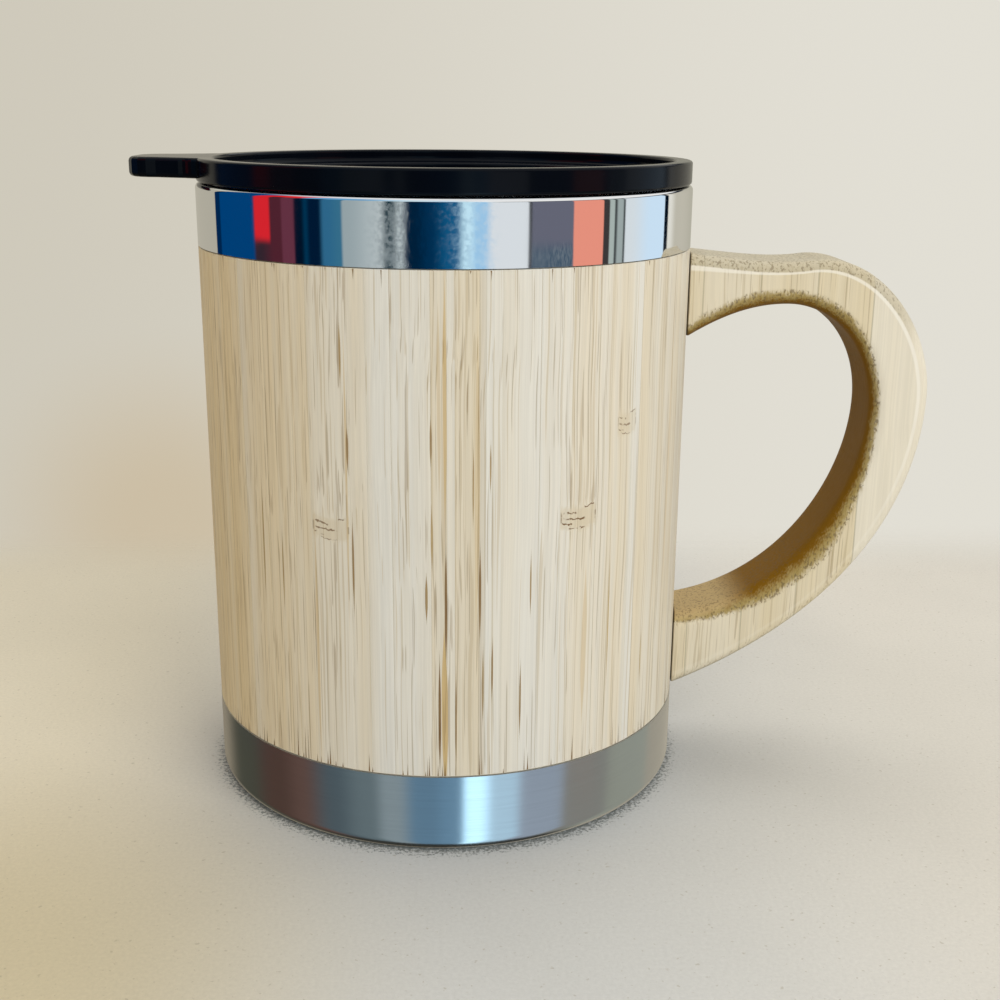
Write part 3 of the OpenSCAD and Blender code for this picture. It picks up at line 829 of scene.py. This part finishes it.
def screw_tree():
    """A countersunk wood screw along +X on each of the piece's points."""
    tree, given = new_tree("wood_screws", Length=float, Core=float, Crest=float, Pitch=float,
                           Head_R=float, Head_H=float, Recess=float, Material=str)
    whole, core, crest, pitch, head_r, head_h, recess = (
        given[name] for name in ("Length", "Core", "Crest", "Pitch", "Head_R", "Head_H", "Recess"))

    def turned(geometry, angles):
        rotation = put(tree, "FunctionNodeEulerToRotation", {0: angles}).outputs[0]
        return out_of("GeometryNodeTransform", {"Geometry": geometry, "Rotation": rotation})

    def cone(sides, top, bottom, height):
        return out_of("GeometryNodeMeshCone", {"Vertices": sides, "Radius Top": top, "Radius Bottom": bottom,
                                               "Depth": height})

    body_l = minus(whole, times(crest, 1.6))
    shank = out_of("GeometryNodeMeshCylinder", {"Vertices": 32, "Radius": core, "Depth": body_l})
    shank = raised(shank, times(body_l, 0.5))
    tip = raised(cone(32, 0.0, core, minus(whole, body_l)), body_l)
    under_head = times(head_h, 1.3)
    wound = minus(body_l, under_head)
    middle = times(plus(core, crest), 0.5)
    spiral = out_of("GeometryNodeCurveSpiral", {
        "Resolution": 24, "Rotations": maths("DIVIDE", wound, pitch), "Start Radius": middle,
        "End Radius": middle, "Height": wound})
    tooth_r = times(minus(crest, core), 0.5)
    tooth = out_of("GeometryNodeCurvePrimitiveCircle", {"Resolution": 4, "Radius": tooth_r})
    thread = raised(swept(spiral, tooth, True), under_head)
    size = place_xyz(times(head_r, 1.1), recess, times(head_h, 1.2))
    slot = out_of("GeometryNodeMeshCube", {"Size": size})
    driven = put(tree, "GeometryNodeMeshBoolean", {0: cone(48, core, head_r, head_h)}, operation="DIFFERENCE")
    for cutter in (slot, turned(slot, (0.0, 0.0, math.pi / 2))):
        tree.links.new(cutter, driven.inputs[1])
    joined = put(tree, "GeometryNodeJoinGeometry")
    for part in (shank, tip, thread, driven.outputs[0]):
        tree.links.new(part, joined.inputs[0])
    lying = turned(joined.outputs[0], (0.0, math.pi / 2, 0.0))
    screws = out_of("GeometryNodeInstanceOnPoints", {"Points": given["Geometry"], "Instance": lying})
    return end_tree(screws, given["Material"])


# ---- Operators ----


class MUG_OT_stage(bpy.types.Operator):
    """Camera, lamps, surroundings and the table."""

    bl_idname = "mug.stage"
    bl_label = "Stage"

    # The room that the steel shows, at eye level, above it and below it: the angle where a colour
    # starts, from the camera's side towards +X in degrees, how soft its edge is, and the colour
    LEVEL = (
        (-180, 0, (0.47, 0.44, 0.36)), (-126, 0.5, (0.0, 0.02, 0.08)), (-121, 0.7, (0.0, 0.055, 0.2)),
        (-94, 1.2, (0.035, 0.02, 0.03)), (-86, 5, (0.085, 0.018, 0.03)), (-77, 0.8, (0.14, 0.035, 0.06)),
        (-70, 0.6, (0.0, 0.006, 0.02)), (-65, 1.5, (0.0, 0.04, 0.1)), (-63, 1.5, (0.0, 0.01, 0.035)),
        (-56, 1.5, (0.03, 0.15, 0.28)), (-50, 3, (0.04, 0.17, 0.28)), (-46, 0.8, (0.34, 0.41, 0.43)),
        (-36, 8, (0.5, 0.56, 0.57)), (-27, 1, (0.01, 0.035, 0.05)), (-22, 1.5, (0.55, 0.62, 0.63)),
        (-18, 1.5, (0.0, 0.015, 0.045)), (-10, 4, (0.0, 0.03, 0.09)), (-2, 4, (0.005, 0.1, 0.24)),
        (6.5, 2, (0.6, 0.87, 1.0)), (12, 1, (0.36, 0.62, 0.87)), (18.5, 1.5, (0.77, 0.81, 0.84)),
        (36.5, 0.4, (0.06, 0.065, 0.075)), (38, 0.4, (0.145, 0.15, 0.2)), (58, 0.5, (0.9, 0.32, 0.23)),
        (74, 0.4, (0.05, 0.045, 0.045)), (77.5, 0.5, (0.43, 0.5, 0.47)), (80.5, 0.5, (0.06, 0.07, 0.07)),
        (82, 0.8, (0.37, 0.43, 0.42)), (85.8, 0.5, (0.06, 0.07, 0.07)), (87, 0.5, (0.74, 0.8, 0.83)),
        (98, 8, (0.66, 0.84, 1.0)), (117, 0.4, (0.0, 0.004, 0.012)), (120.5, 0.4, (0.82, 0.8, 0.72)),
        (126, 4, (0.56, 0.53, 0.44)), (150, 15, (0.46, 0.44, 0.36)),
    )
    ABOVE = (
        (-180, 0, (0.6, 0.58, 0.5)), (-126, 1, (0.0, 0.06, 0.2)), (-94, 2, (0.85, 0.015, 0.015)),
        (-70, 2, (0.12, 0.36, 0.62)), (-30, 12, (0.6, 0.78, 0.88)), (10, 10, (0.92, 0.92, 0.9)),
    )
    BELOW = (
        (-180, 0, (0.3, 0.26, 0.19)), (-140, 12, (0.09, 0.09, 0.065)), (-108, 8, (0.11, 0.065, 0.05)),
        (-84, 8, (0.17, 0.1, 0.08)), (-68, 8, (0.11, 0.15, 0.17)), (-50, 8, (0.18, 0.24, 0.26)),
        (-34, 4, (0.34, 0.42, 0.45)), (-20, 5, (0.17, 0.31, 0.44)), (-4, 4, (0.2, 0.37, 0.53)),
        (8, 2, (1.15, 1.8, 2.2)), (20, 3.5, (0.62, 0.9, 1.1)), (36, 3, (0.42, 0.5, 0.6)),
        (60, 3, (0.32, 0.32, 0.29)), (88, 2, (0.4, 0.42, 0.35)), (122, 1, (0.48, 0.44, 0.35)),
    )

    def execute(self, context):
        settings = context.scene.mug_stage
        self.camera(context, settings)
        self.lamps()
        self.world(context, settings)
        self.floor(settings)
        context.scene.view_settings.view_transform = "Standard"
        return {"FINISHED"}

    def camera(self, context, settings):
        data = bpy.data.cameras.new("camera")
        data.sensor_width = 36
        data.lens = settings.lens
        data.clip_start, data.clip_end = 0.01, 20
        camera = bpy.data.objects.new("camera", data)
        context.scene.collection.objects.link(camera)
        pitch, yaw, roll = settings.pitch, settings.yaw, settings.roll
        ahead = Vector((math.sin(yaw) * math.cos(pitch), math.cos(yaw) * math.cos(pitch), -math.sin(pitch)))
        right = Vector((math.cos(yaw), -math.sin(yaw), 0))
        up = right.cross(ahead)
        leaning_right = math.cos(roll) * right + math.sin(roll) * up
        leaning_up = math.cos(roll) * up - math.sin(roll) * right
        turned = Matrix((leaning_right, leaning_up, -ahead)).transposed().to_4x4()
        camera.matrix_world = Matrix.Translation((0, -settings.distance, settings.height)) @ turned
        context.scene.camera = camera

    def lamps(self):
        # name, place, aim, width, height, watts, colour
        lamps = (
            ("window", (0.4, -0.6, 0.5), (0.0, 0.0, 0.05), 0.5, 0.5, 3.6, (1.0, 0.98, 0.95)),
            ("ceiling", (0.12, 0.3, 0.85), (0.0, 0.0, 0.0), 0.6, 0.6, 2.5, (1.0, 0.97, 0.92)),
            ("lamp_left", (-0.8, -0.15, 0.3), (0.0, 0.0, 0.05), 0.4, 0.4, 0.7, (1.0, 0.72, 0.36)),
        )
        for name, place, aim, wide, tall, watts, tint in lamps:
            data = bpy.data.lights.new(name, "AREA")
            data.shape, data.size, data.size_y = "RECTANGLE", wide, tall
            data.energy, data.color = watts, tint
            lamp = bpy.data.objects.new(name, data)
            bpy.context.scene.collection.objects.link(lamp)
            lamp.location = place
            lamp.rotation_euler = (Vector(aim) - Vector(place)).to_track_quat("-Z", "Y").to_euler()
            lamp.visible_camera = False
            lamp.visible_glossy = False

    def world(self, context, settings):
        world = bpy.data.worlds.new("room")
        context.scene.world = world
        world.use_nodes = True
        tree = world.node_tree
        tree.nodes.clear()
        towards = source(tree, "ShaderNodeTexCoord", "Generated")
        x, y, z = xyz_of(towards)
        angle = maths("DEGREES", azimuth(x, y))
        frayed = times(step(angle, -32, -24), step(angle, 12, -2))
        shake = minus(noise(towards, 90, 3.0, 0.7), 0.5)
        shaken = scaled(times(shake, 14.0), frayed, angle)
        line = times(step(z, 0.24, 0.28), step(angle, 18, 26))
        dark = times(times(step(angle, 37.6, 38.4), step(angle, 58.5, 57.5)), step(z, -0.06, -0.09))
        red = times(times(step(angle, -94.5, -93), step(angle, -83, -85)), step(z, -0.085, -0.07))
        mottled = mix(step(shake, -0.1, 0.15), (0.06, 0.1, 0.15), (0.16, 0.2, 0.24))
        above = mix(step(z, 0.6, 0.9), bands(angle, self.ABOVE), (0.85, 0.86, 0.86))
        room = painted(
            bands(shaken, self.LEVEL), (line, (0.01, 0.015, 0.03)), (dark, mottled),
            (red, (0.75, 0.02, 0.03)), (step(z, 0.33, 0.38), above),
            (step(z, -0.18, -0.32), bands(angle, self.BELOW)), (step(z, -0.82, -0.92), (0.05, 0.05, 0.042)))
        # Painted shade on the wall behind: darker to the left, paler to the right, and a painted warm shadow
        # of the mug to its left
        left, right = tinted(settings.wall, 0.9), tinted(settings.wall, 1.1, 1.13, 1.2)
        backdrop = mix(step(x, -0.35, 0.35), left, right)
        off = vector_maths("DISTANCE", towards, (-0.2, 0.935, -0.29), "Value")
        backdrop = mix(step(off, 0.15, 0.02, 0.0, 0.7), backdrop, (0.59, 0.48, 0.32))
        soft = mix(step(z, -0.4, 0.9), (0.44, 0.39, 0.3), (0.6, 0.6, 0.6))
        rays = put(tree, "ShaderNodeLightPath")
        glossy = most(rays.outputs["Is Glossy Ray"], rays.outputs["Is Transmission Ray"])
        lit, mirrored, seen = (
            out_of("ShaderNodeBackground", {"Color": tint}) for tint in (soft, room, backdrop))
        shown = out_of("ShaderNodeMixShader", {0: glossy, 1: lit, 2: mirrored})
        shown = out_of("ShaderNodeMixShader", {0: rays.outputs["Is Camera Ray"], 1: shown, 2: seen})
        feed(put(tree, "ShaderNodeOutputWorld").inputs[0], shown)

    def floor(self, settings):
        ring = bow((0, 0), settings.floor_r, 0, 360, 96)[:-1]
        table = loose("table", [(px, py, 0.0) for px, py in ring], faces=[tuple(range(len(ring)))])
        table.visible_glossy = False
        material, shader, place = surface("table_top")
        specks = step(noise(place, 1100, 2.0), 0.66, 0.74, 0.0, 0.4)
        cloud = step(noise(place, 14, 3.0), 0.3, 0.7)
        sand = noise(place, 1500, 4.0, 0.7)
        x, y, _ = xyz_of(place)
        # Painted shade and light: the table darker and warmer to the left and at the front-left corner, paler
        # to the right
        middle, left, corner = (tinted(settings.table, *tints) for tints in (
            (0.87, 0.92, 1.0), (1.04, 1.0, 0.88), (0.86, 0.79, 0.6)))
        off = vector_maths("DISTANCE", place, (-0.08, -0.08, 0.0), "Value")
        top = painted(settings.table, (step(x, 0.11, 0.02), middle), (step(x, -0.01, -0.08), left),
                      (step(off, 0.085, 0.015), corner))
        shade = plus(scaled(cloud, -0.06, 0.9), times(sand, 0.26))
        top = mix(1.0, top, grey(shade), "MULTIPLY")
        # Painted shadow: speckled darkening in a ring round the foot of the mug
        away = out_of("ShaderNodeVectorMath", {0: place}, "Value", operation="LENGTH")
        contact_shade_ring = step(away, BODY_R + 5 * MM, BODY_R - 2 * MM, 0.0, 0.38)
        painted_contact_shadow = step(plus(noise(place, 1700, 4.0, 0.7), contact_shade_ring), 0.72, 0.88, 0.0, 0.8)
        top = mix(times(painted_contact_shadow, step(contact_shade_ring, 0.0, 0.05)), top, (0.12, 0.13, 0.115))
        set_shader(shader, Base_Color=mix(specks, top, (0.3, 0.26, 0.18)), Roughness=0.8,
                   Normal=bump(sand, 0.15 * MM, 0.5))
        tree = material.node_tree
        clear = source(tree, "ShaderNodeBsdfTransparent")
        fade = most(step(y, 0.09, 0.14), step(away, settings.floor_r * 0.5, settings.floor_r * 0.95))
        blend = out_of("ShaderNodeMixShader", {0: fade, 1: shader.outputs[0], 2: clear})
        feed(tree.nodes["Material Output"].inputs["Surface"], blend)
        table.data.materials.append(material)


class MUG_OT_steel(bpy.types.Operator):
    """The mirror-polished rim band, the brushed base and the inner cup."""

    bl_idname = "mug.steel"
    bl_label = "Steel"

    def execute(self, context):
        settings = context.scene.mug_steel
        sheet, roll, corner = settings.sheet, settings.roll, settings.corner
        edge = (BODY_R - roll, CUP_H - roll)
        lip = BODY_R - roll - sheet
        section = [(BODY_R, BAND_Z)] + bow(edge, roll, 0, 90, 10) + [(lip, CUP_H), (lip, CUP_H - sheet)]
        section += bow(edge, roll - sheet, 90, 0, 6) + [(BODY_R - sheet, BAND_Z)]
        band = lathe("rim_band", section, settings.around, mirror_steel(settings))
        finish_piece(band, "cup", "steel_mirror", "rim_collar")

        centre = (BODY_R - corner, corner)
        recess_r = BODY_R - corner - settings.rest_w
        fold = sheet * math.tan(math.radians(22.5))
        top = settings.recess + sheet
        section = [(0, settings.recess), (recess_r - settings.recess, settings.recess), (recess_r, 0)]
        section += bow(centre, corner, -90, 0, 12) + [(BODY_R, BASE_H), (BODY_R - sheet, BASE_H)]
        section += bow(centre, corner - sheet, 0, -90, 10)
        section += [(recess_r + fold, sheet), (recess_r - settings.recess + fold, top), (0, top)]
        base = lathe("brushed_base", section, settings.around, brushed_steel(settings))
        finish_piece(base, "cup", "steel_brushed", "base_cup")

        paint("inner_cup", satin_steel(settings))
        return {"FINISHED"}


class MUG_OT_sleeve(bpy.types.Operator):
    """The bamboo sleeve of glued strips, and the torn fibres along its ends."""

    bl_idname = "mug.sleeve"
    bl_label = "Sleeve"

    WALL = 2.9 * MM
    GLUE_GAP = 0.1 * MM

    def execute(self, context):
        settings = context.scene.mug_sleeve
        face_r = BODY_R - settings.skin_gap
        spigot_r = BODY_R - context.scene.mug_steel.sheet - self.GLUE_GAP
        bore_r = BODY_R - self.WALL
        chamfer = settings.chamfer
        foot = BASE_H + chamfer
        section = [(bore_r, SLEEVE_LOW.z), (spigot_r, SLEEVE_LOW.z), (spigot_r, BASE_H)]
        section += [(face_r - chamfer, BASE_H), (face_r, foot)]
        top, ease = BAND_Z - settings.seam, 0.25 * chamfer
        levels = 12
        rise = (top - ease - foot) / levels
        section += [(face_r, foot + rise * k) for k in range(1, levels + 1)]
        section += [(face_r - ease, top), (spigot_r, top), (spigot_r, SLEEVE_HIGH.z), (bore_r, SLEEVE_HIGH.z)]
        borders = [math.radians(row[0] - 90) for row in STRIP_TONES]
        borders.append(borders[0] + 2 * math.pi)
        n = len(section)
        points = [(r, 0.0, z) for r, z in section] + [(turn, 0.0, 0.0) for turn in borders]
        sleeve = loose("sleeve_strips", points, [(k, (k + 1) % n) for k in range(n)])
        grow(sleeve, strip_tree(), {
            "Strips": len(STRIP_TONES), "Columns": settings.columns, "Borders_from": n,
            "Groove": settings.groove, "Skin": face_r - 0.5 * ease, "Seed": settings.seed,
            "Material": sanded_bamboo(settings)})
        tidy_mesh(sleeve.data)
        number, start = (self.values(sleeve, name) for name in ("strip_number", "strip_start"))
        tones = np.array(STRIP_TONES)[number.round().astype(int)]
        for name, values in (("gold", tones[:, 1]), ("fibre", tones[:, 2]), ("grey", tones[:, 3]),
                             ("edge", tones[:, 4] * start)):
            mark(sleeve, "strip_" + name, values)
        finish_piece(sleeve, "cup", "bamboo", "bamboo_sleeve")

        fibre = torn_fibre(settings)
        self.streaks(face_r + 0.01 * MM, fibre)
        tears = tear_tree()
        for name, height, number, longest, seed in (
            ("tears_low", foot, settings.tears, settings.tear_l, settings.seed),
            ("tears_high", top - ease, settings.tears // 4, -0.4 * settings.tear_l, settings.seed + 3),
        ):
            piece = self.tear(name, face_r + 0.012 * MM, settings.tear_w)
            grow(piece, tears, {"Count": number, "Height": height, "Shortest": 0.12 * longest,
                                "Longest": longest, "Seed": seed, "Material": fibre})
            finish_piece(piece, "cup", "bamboo")
        return {"FINISHED"}

    def values(self, piece, name):
        found = piece.data.attributes[name].data
        read = np.empty(len(found), np.float32)
        found.foreach_get("value", read)
        return read

    def streaks(self, radius, fibre):
        """The dark fibre bundles, as slivers on the face."""
        rows = np.array(BROWN_STREAKS)
        piece = loose("fibre_streaks", [(0.0, 0.0, low * MM) for low in rows[:, 1]])
        for name, values in (("turn", np.radians(rows[:, 0] - 90)), ("wide", 2 * rows[:, 3] * MM),
                             ("tall", (rows[:, 2] - rows[:, 1]) * MM), ("paleness", 1 - rows[:, 4])):
            mark(piece, name, values)
        grow(piece, streak_tree(), {"Radius": radius, "Material": fibre})
        finish_piece(piece, "cup", "bamboo")

    def tear(self, name, radius, width):
        """One torn fibre of unit length on the face towards +X: a thin sliver that narrows upwards."""
        shape = ((0.0, -0.5), (0.0, 0.5), (0.35, 0.3), (0.35, -0.24), (0.72, 0.14), (0.72, -0.1), (1.0, 0.02))
        vertices = [(radius, side * width, up) for up, side in shape]
        return loose(name, vertices, faces=[(0, 1, 2, 3), (3, 2, 4, 5), (5, 4, 6)])


class MUG_OT_handle(bpy.types.Operator):
    """The carved bamboo handle."""

    bl_idname = "mug.handle"
    bl_label = "Handle"

    # The outer and inner edges as chains of Bezier curves, in shares of the reach and the height
    OUTER = ((-0.1, 1.016), (0.1, 1.01), (0.3, 0.987), (0.48, 0.998), (0.76, 1.023),
             (1, 0.85), (1, 0.69), (1, 0.38), (0.6, 0.115), (-0.1, -0.03))
    INNER = ((-0.1, 0.79), (0.1, 0.87), (0.25, 0.9), (0.4, 0.9), (0.6, 0.9),
             (0.765, 0.8), (0.765, 0.66), (0.765, 0.45), (0.46, 0.175), (-0.1, 0.165))
    # How far the dark end grain reaches from the finger gap over the faces, in inner roundings,
    # along the handle from its upper end: partly the end grain's own colour, partly painted shade
    SHADE_AND_END_GRAIN_REACH = ((0, 0.7), (0.08, 1.1), (0.2, 1.35), (0.33, 1.2), (0.45, 0.95), (0.6, 0.6), (0.7, 0.6),
             (0.77, 1.0), (0.83, 1.6), (0.9, 1.3), (0.96, 0.8), (1, 0.5))

    def execute(self, context):
        settings = context.scene.mug_handle
        fine = 1600
        grid = np.array([self.ring(settings, k / fine)[0] for k in range(fine + 1)])
        away = np.hypot(grid[:, :, 0], grid[:, :, 1])
        columns = grid.shape[1]
        rings, shade_and_end_grain = [], []
        wall = BODY_R + settings.joint
        starts = np.array([self.crossing(away[:, j], wall + settings.ease) for j in range(columns)])
        ends = np.array([fine - self.crossing(away[::-1, j], wall + settings.ease) for j in range(columns)])
        for k in range(settings.rings + 1):
            at = starts + k / settings.rings * (ends - starts)
            rings.append([self.sample(grid[:, j], at[j]) for j in range(columns)])
            shade_and_end_grain.append(self.ring(settings, at.mean() / fine)[1])
        first = [self.sample(grid[:, j], self.crossing(away[:, j], wall)) for j in range(columns)]
        last = [self.sample(grid[:, j], fine - self.crossing(away[::-1, j], wall)) for j in range(columns)]
        rings = [self.eased(first, settings.ease)] + rings + [self.eased(last, settings.ease)]
        shade_and_end_grain = [shade_and_end_grain[0]] + shade_and_end_grain + [shade_and_end_grain[-1]]

        vertices = [tuple(p) for ring in rings for p in ring]
        faces = [(k * columns + j, k * columns + (j + 1) % columns, (k + 1) * columns + (j + 1) % columns,
                  (k + 1) * columns + j) for k in range(len(rings) - 1) for j in range(columns)]
        for start in (0, (len(rings) - 1) * columns):
            middle = np.mean(vertices[start:start + columns], axis=0)
            middle *= [wall / math.hypot(middle[0], middle[1]), 1, 1]
            vertices.append(tuple(middle))
            faces += [(start + j, start + (j + 1) % columns, len(vertices) - 1) for j in range(columns)]
        piece = new_piece("carved_handle", vertices, faces, carved_bamboo(settings))
        edge = list(self.ring(settings, 0.5)[2]) * len(rings)
        for name, values in (("inner_side", list(np.ravel(shade_and_end_grain))), ("outer_side", edge)):
            mark(piece, name, values + [0.0, 0.0])
        finish_piece(piece, "cup", "bamboo_handle", "handle")
        return {"FINISHED"}

    def ring(self, settings, t):
        """One section at t from 0 to 1: its points, how far the dark end grain of the finger gap
        reaches over each of them, partly its own colour and partly painted shade, and how near each
        lies to the outer side: 0.5 where its rounding starts."""
        outer, inner = (np.array(self.chain(edge, t)) for edge in (self.OUTER, self.INNER))
        size = np.array((settings.reach, settings.height))
        base = np.array((BODY_R, settings.foot_z))
        outer, inner = base + outer * size, base + inner * size
        middle, half = (outer + inner) / 2, np.linalg.norm(outer - inner) / 2
        out = (outer - inner) / (2 * half)
        ro, ri, w = settings.outer_r, settings.inner_r, settings.width / 2
        corners = ((half - ro, w - ro, ro), (ri - half, w - ri, ri), (ri - half, ri - w, ri),
                   (half - ro, ro - w, ro))
        arcs = [bow((p, q), r, 90 * k, 90 * k + 90, 8) for k, (p, q, r) in enumerate(corners)]
        flat = []
        for k, arc in enumerate(arcs):
            straight = np.linspace(arc[-1], arcs[(k + 1) % 4][0], (12, 8)[k % 2])
            flat += arc + list(straight[1:-1])
        points = [(middle[0] + out[0] * p, q, middle[1] + out[1] * p) for p, q in flat]
        wide = ri * np.interp(t, *zip(*self.SHADE_AND_END_GRAIN_REACH))
        inward = [max(0.0, 1.3 * (wide - half - p) / wide) for p, _ in flat]
        outward = [max(0.0, 1 - (half - p) / (2 * ro)) for p, _ in flat]
        return points, inward, outward

    def chain(self, points, t):
        """A point on a chain of three cubic Bezier curves."""
        part = min(int(t * 3), 2)
        a, b, c, d = (np.array(p, float) for p in points[3 * part:3 * part + 4])
        u = t * 3 - part
        return (1 - u) ** 3 * a + 3 * (1 - u) ** 2 * u * b + 3 * (1 - u) * u * u * c + u ** 3 * d

    def crossing(self, away, radius):
        """Where a line of points first comes out of the cylinder, as a fraction of its points."""
        k = int(np.argmax(away > radius))
        return k - 1 + (radius - away[k - 1]) / (away[k] - away[k - 1])

    def sample(self, line, at):
        k = min(int(at), len(line) - 2)
        return line[k] + (at - k) * (line[k + 1] - line[k])

    def eased(self, ring, ease):
        """The ring drawn in towards its middle by a length."""
        middle = np.mean(ring, axis=0)
        return [p + (middle - p) * ease / np.linalg.norm(middle - p) for p in ring]


class MUG_OT_screws(bpy.types.Operator):
    """The two wood screws that hold the handle, from inside the sleeve."""

    bl_idname = "mug.screws"
    bl_label = "Screws"

    CREST_R = 1.6 * MM
    HEAD_H = 1.7 * MM

    def execute(self, context):
        settings = context.scene.mug_screws
        low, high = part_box("handle_screws")
        head_r = high.y
        heights = (low.z + head_r, high.z - head_r)
        piece = loose("handle_screw_pair", [(low.x, 0.0, z) for z in heights])
        grow(piece, screw_tree(), {
            "Length": high.x - low.x, "Core": settings.core, "Crest": self.CREST_R, "Pitch": settings.pitch,
            "Head_R": head_r, "Head_H": self.HEAD_H, "Recess": settings.recess_w,
            "Material": screw_steel(settings)})
        tidy_mesh(piece.data)
        finish_piece(piece, "cup", "screw_steel", "handle_screws")
        return {"FINISHED"}


class MUG_OT_lid(bpy.types.Operator):
    """The lid's moulding."""

    bl_idname = "mug.lid"
    bl_label = "Lid"

    def execute(self, context):
        settings = context.scene.mug_lid
        paint("lid_body", black_plastic("lid_plastic", settings.plastic, 0.12, 0.17, 1800, 0.002 * MM))
        return {"FINISHED"}


class MUG_OT_closure(bpy.types.Operator):
    """The slider with its clip and pad, and the lid's sealing ring."""

    bl_idname = "mug.closure"
    bl_label = "Closure and seal"

    def execute(self, context):
        settings = context.scene.mug_lid
        textured = black_plastic("slider_plastic", settings.slider, 0.42, 0.52, 3200, 0.012 * MM)
        silicone = milky_silicone(settings)
        paint("sip_slider", textured)
        paint("slider_clip", textured)
        paint("sip_seal_pad", silicone)
        paint("lid_seal_ring", silicone)
        return {"FINISHED"}


def finish_piece(piece, body, slot, *nodes):
    """Says which body carries a piece and which nodes it stands for, and hides those nodes. The finish named
    for it is not used.
    """
    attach(piece, body)
    if nodes:
        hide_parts(*nodes)


def paint(node, material):
    """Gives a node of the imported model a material."""
    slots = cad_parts[node].material_slots
    for slot in slots:
        slot.material = material


class MUG_PT_panel(bpy.types.Panel):
    """Lists the settings and the operators."""

    bl_idname = "MUG_PT_panel"
    bl_label = "Bamboo mug"
    bl_space_type = "VIEW_3D"
    bl_region_type = "UI"
    bl_category = "Mug"

    def draw(self, context):
        for name, _, operators in GROUPS:
            box = self.layout.box()
            settings = getattr(context.scene, name)
            for label in settings.__annotations__:
                box.prop(settings, label)
            for operator in operators:
                box.operator(operator.bl_idname)


GROUPS = (
    ("mug_stage", StageSettings, (MUG_OT_stage,)),
    ("mug_steel", SteelSettings, (MUG_OT_steel,)),
    ("mug_sleeve", SleeveSettings, (MUG_OT_sleeve,)),
    ("mug_handle", HandleSettings, (MUG_OT_handle,)),
    ("mug_screws", ScrewSettings, (MUG_OT_screws,)),
    ("mug_lid", LidSettings, (MUG_OT_lid, MUG_OT_closure)),
)


def register():
    for name, settings, operators in GROUPS:
        bpy.utils.register_class(settings)
        setattr(bpy.types.Scene, name, PointerProperty(type=settings))
        for operator in operators:
            bpy.utils.register_class(operator)
    bpy.utils.register_class(MUG_PT_panel)


def unregister():
    bpy.utils.unregister_class(MUG_PT_panel)
    for name, settings, operators in reversed(GROUPS):
        for operator in operators:
            bpy.utils.unregister_class(operator)
        delattr(bpy.types.Scene, name)
        bpy.utils.unregister_class(settings)


def main():
    register()
    bpy.ops.mug.stage()
    bpy.ops.mug.steel()
    bpy.ops.mug.sleeve()
    bpy.ops.mug.handle()
    bpy.ops.mug.screws()
    bpy.ops.mug.lid()
    bpy.ops.mug.closure()


if __name__ == "__main__":
    main()
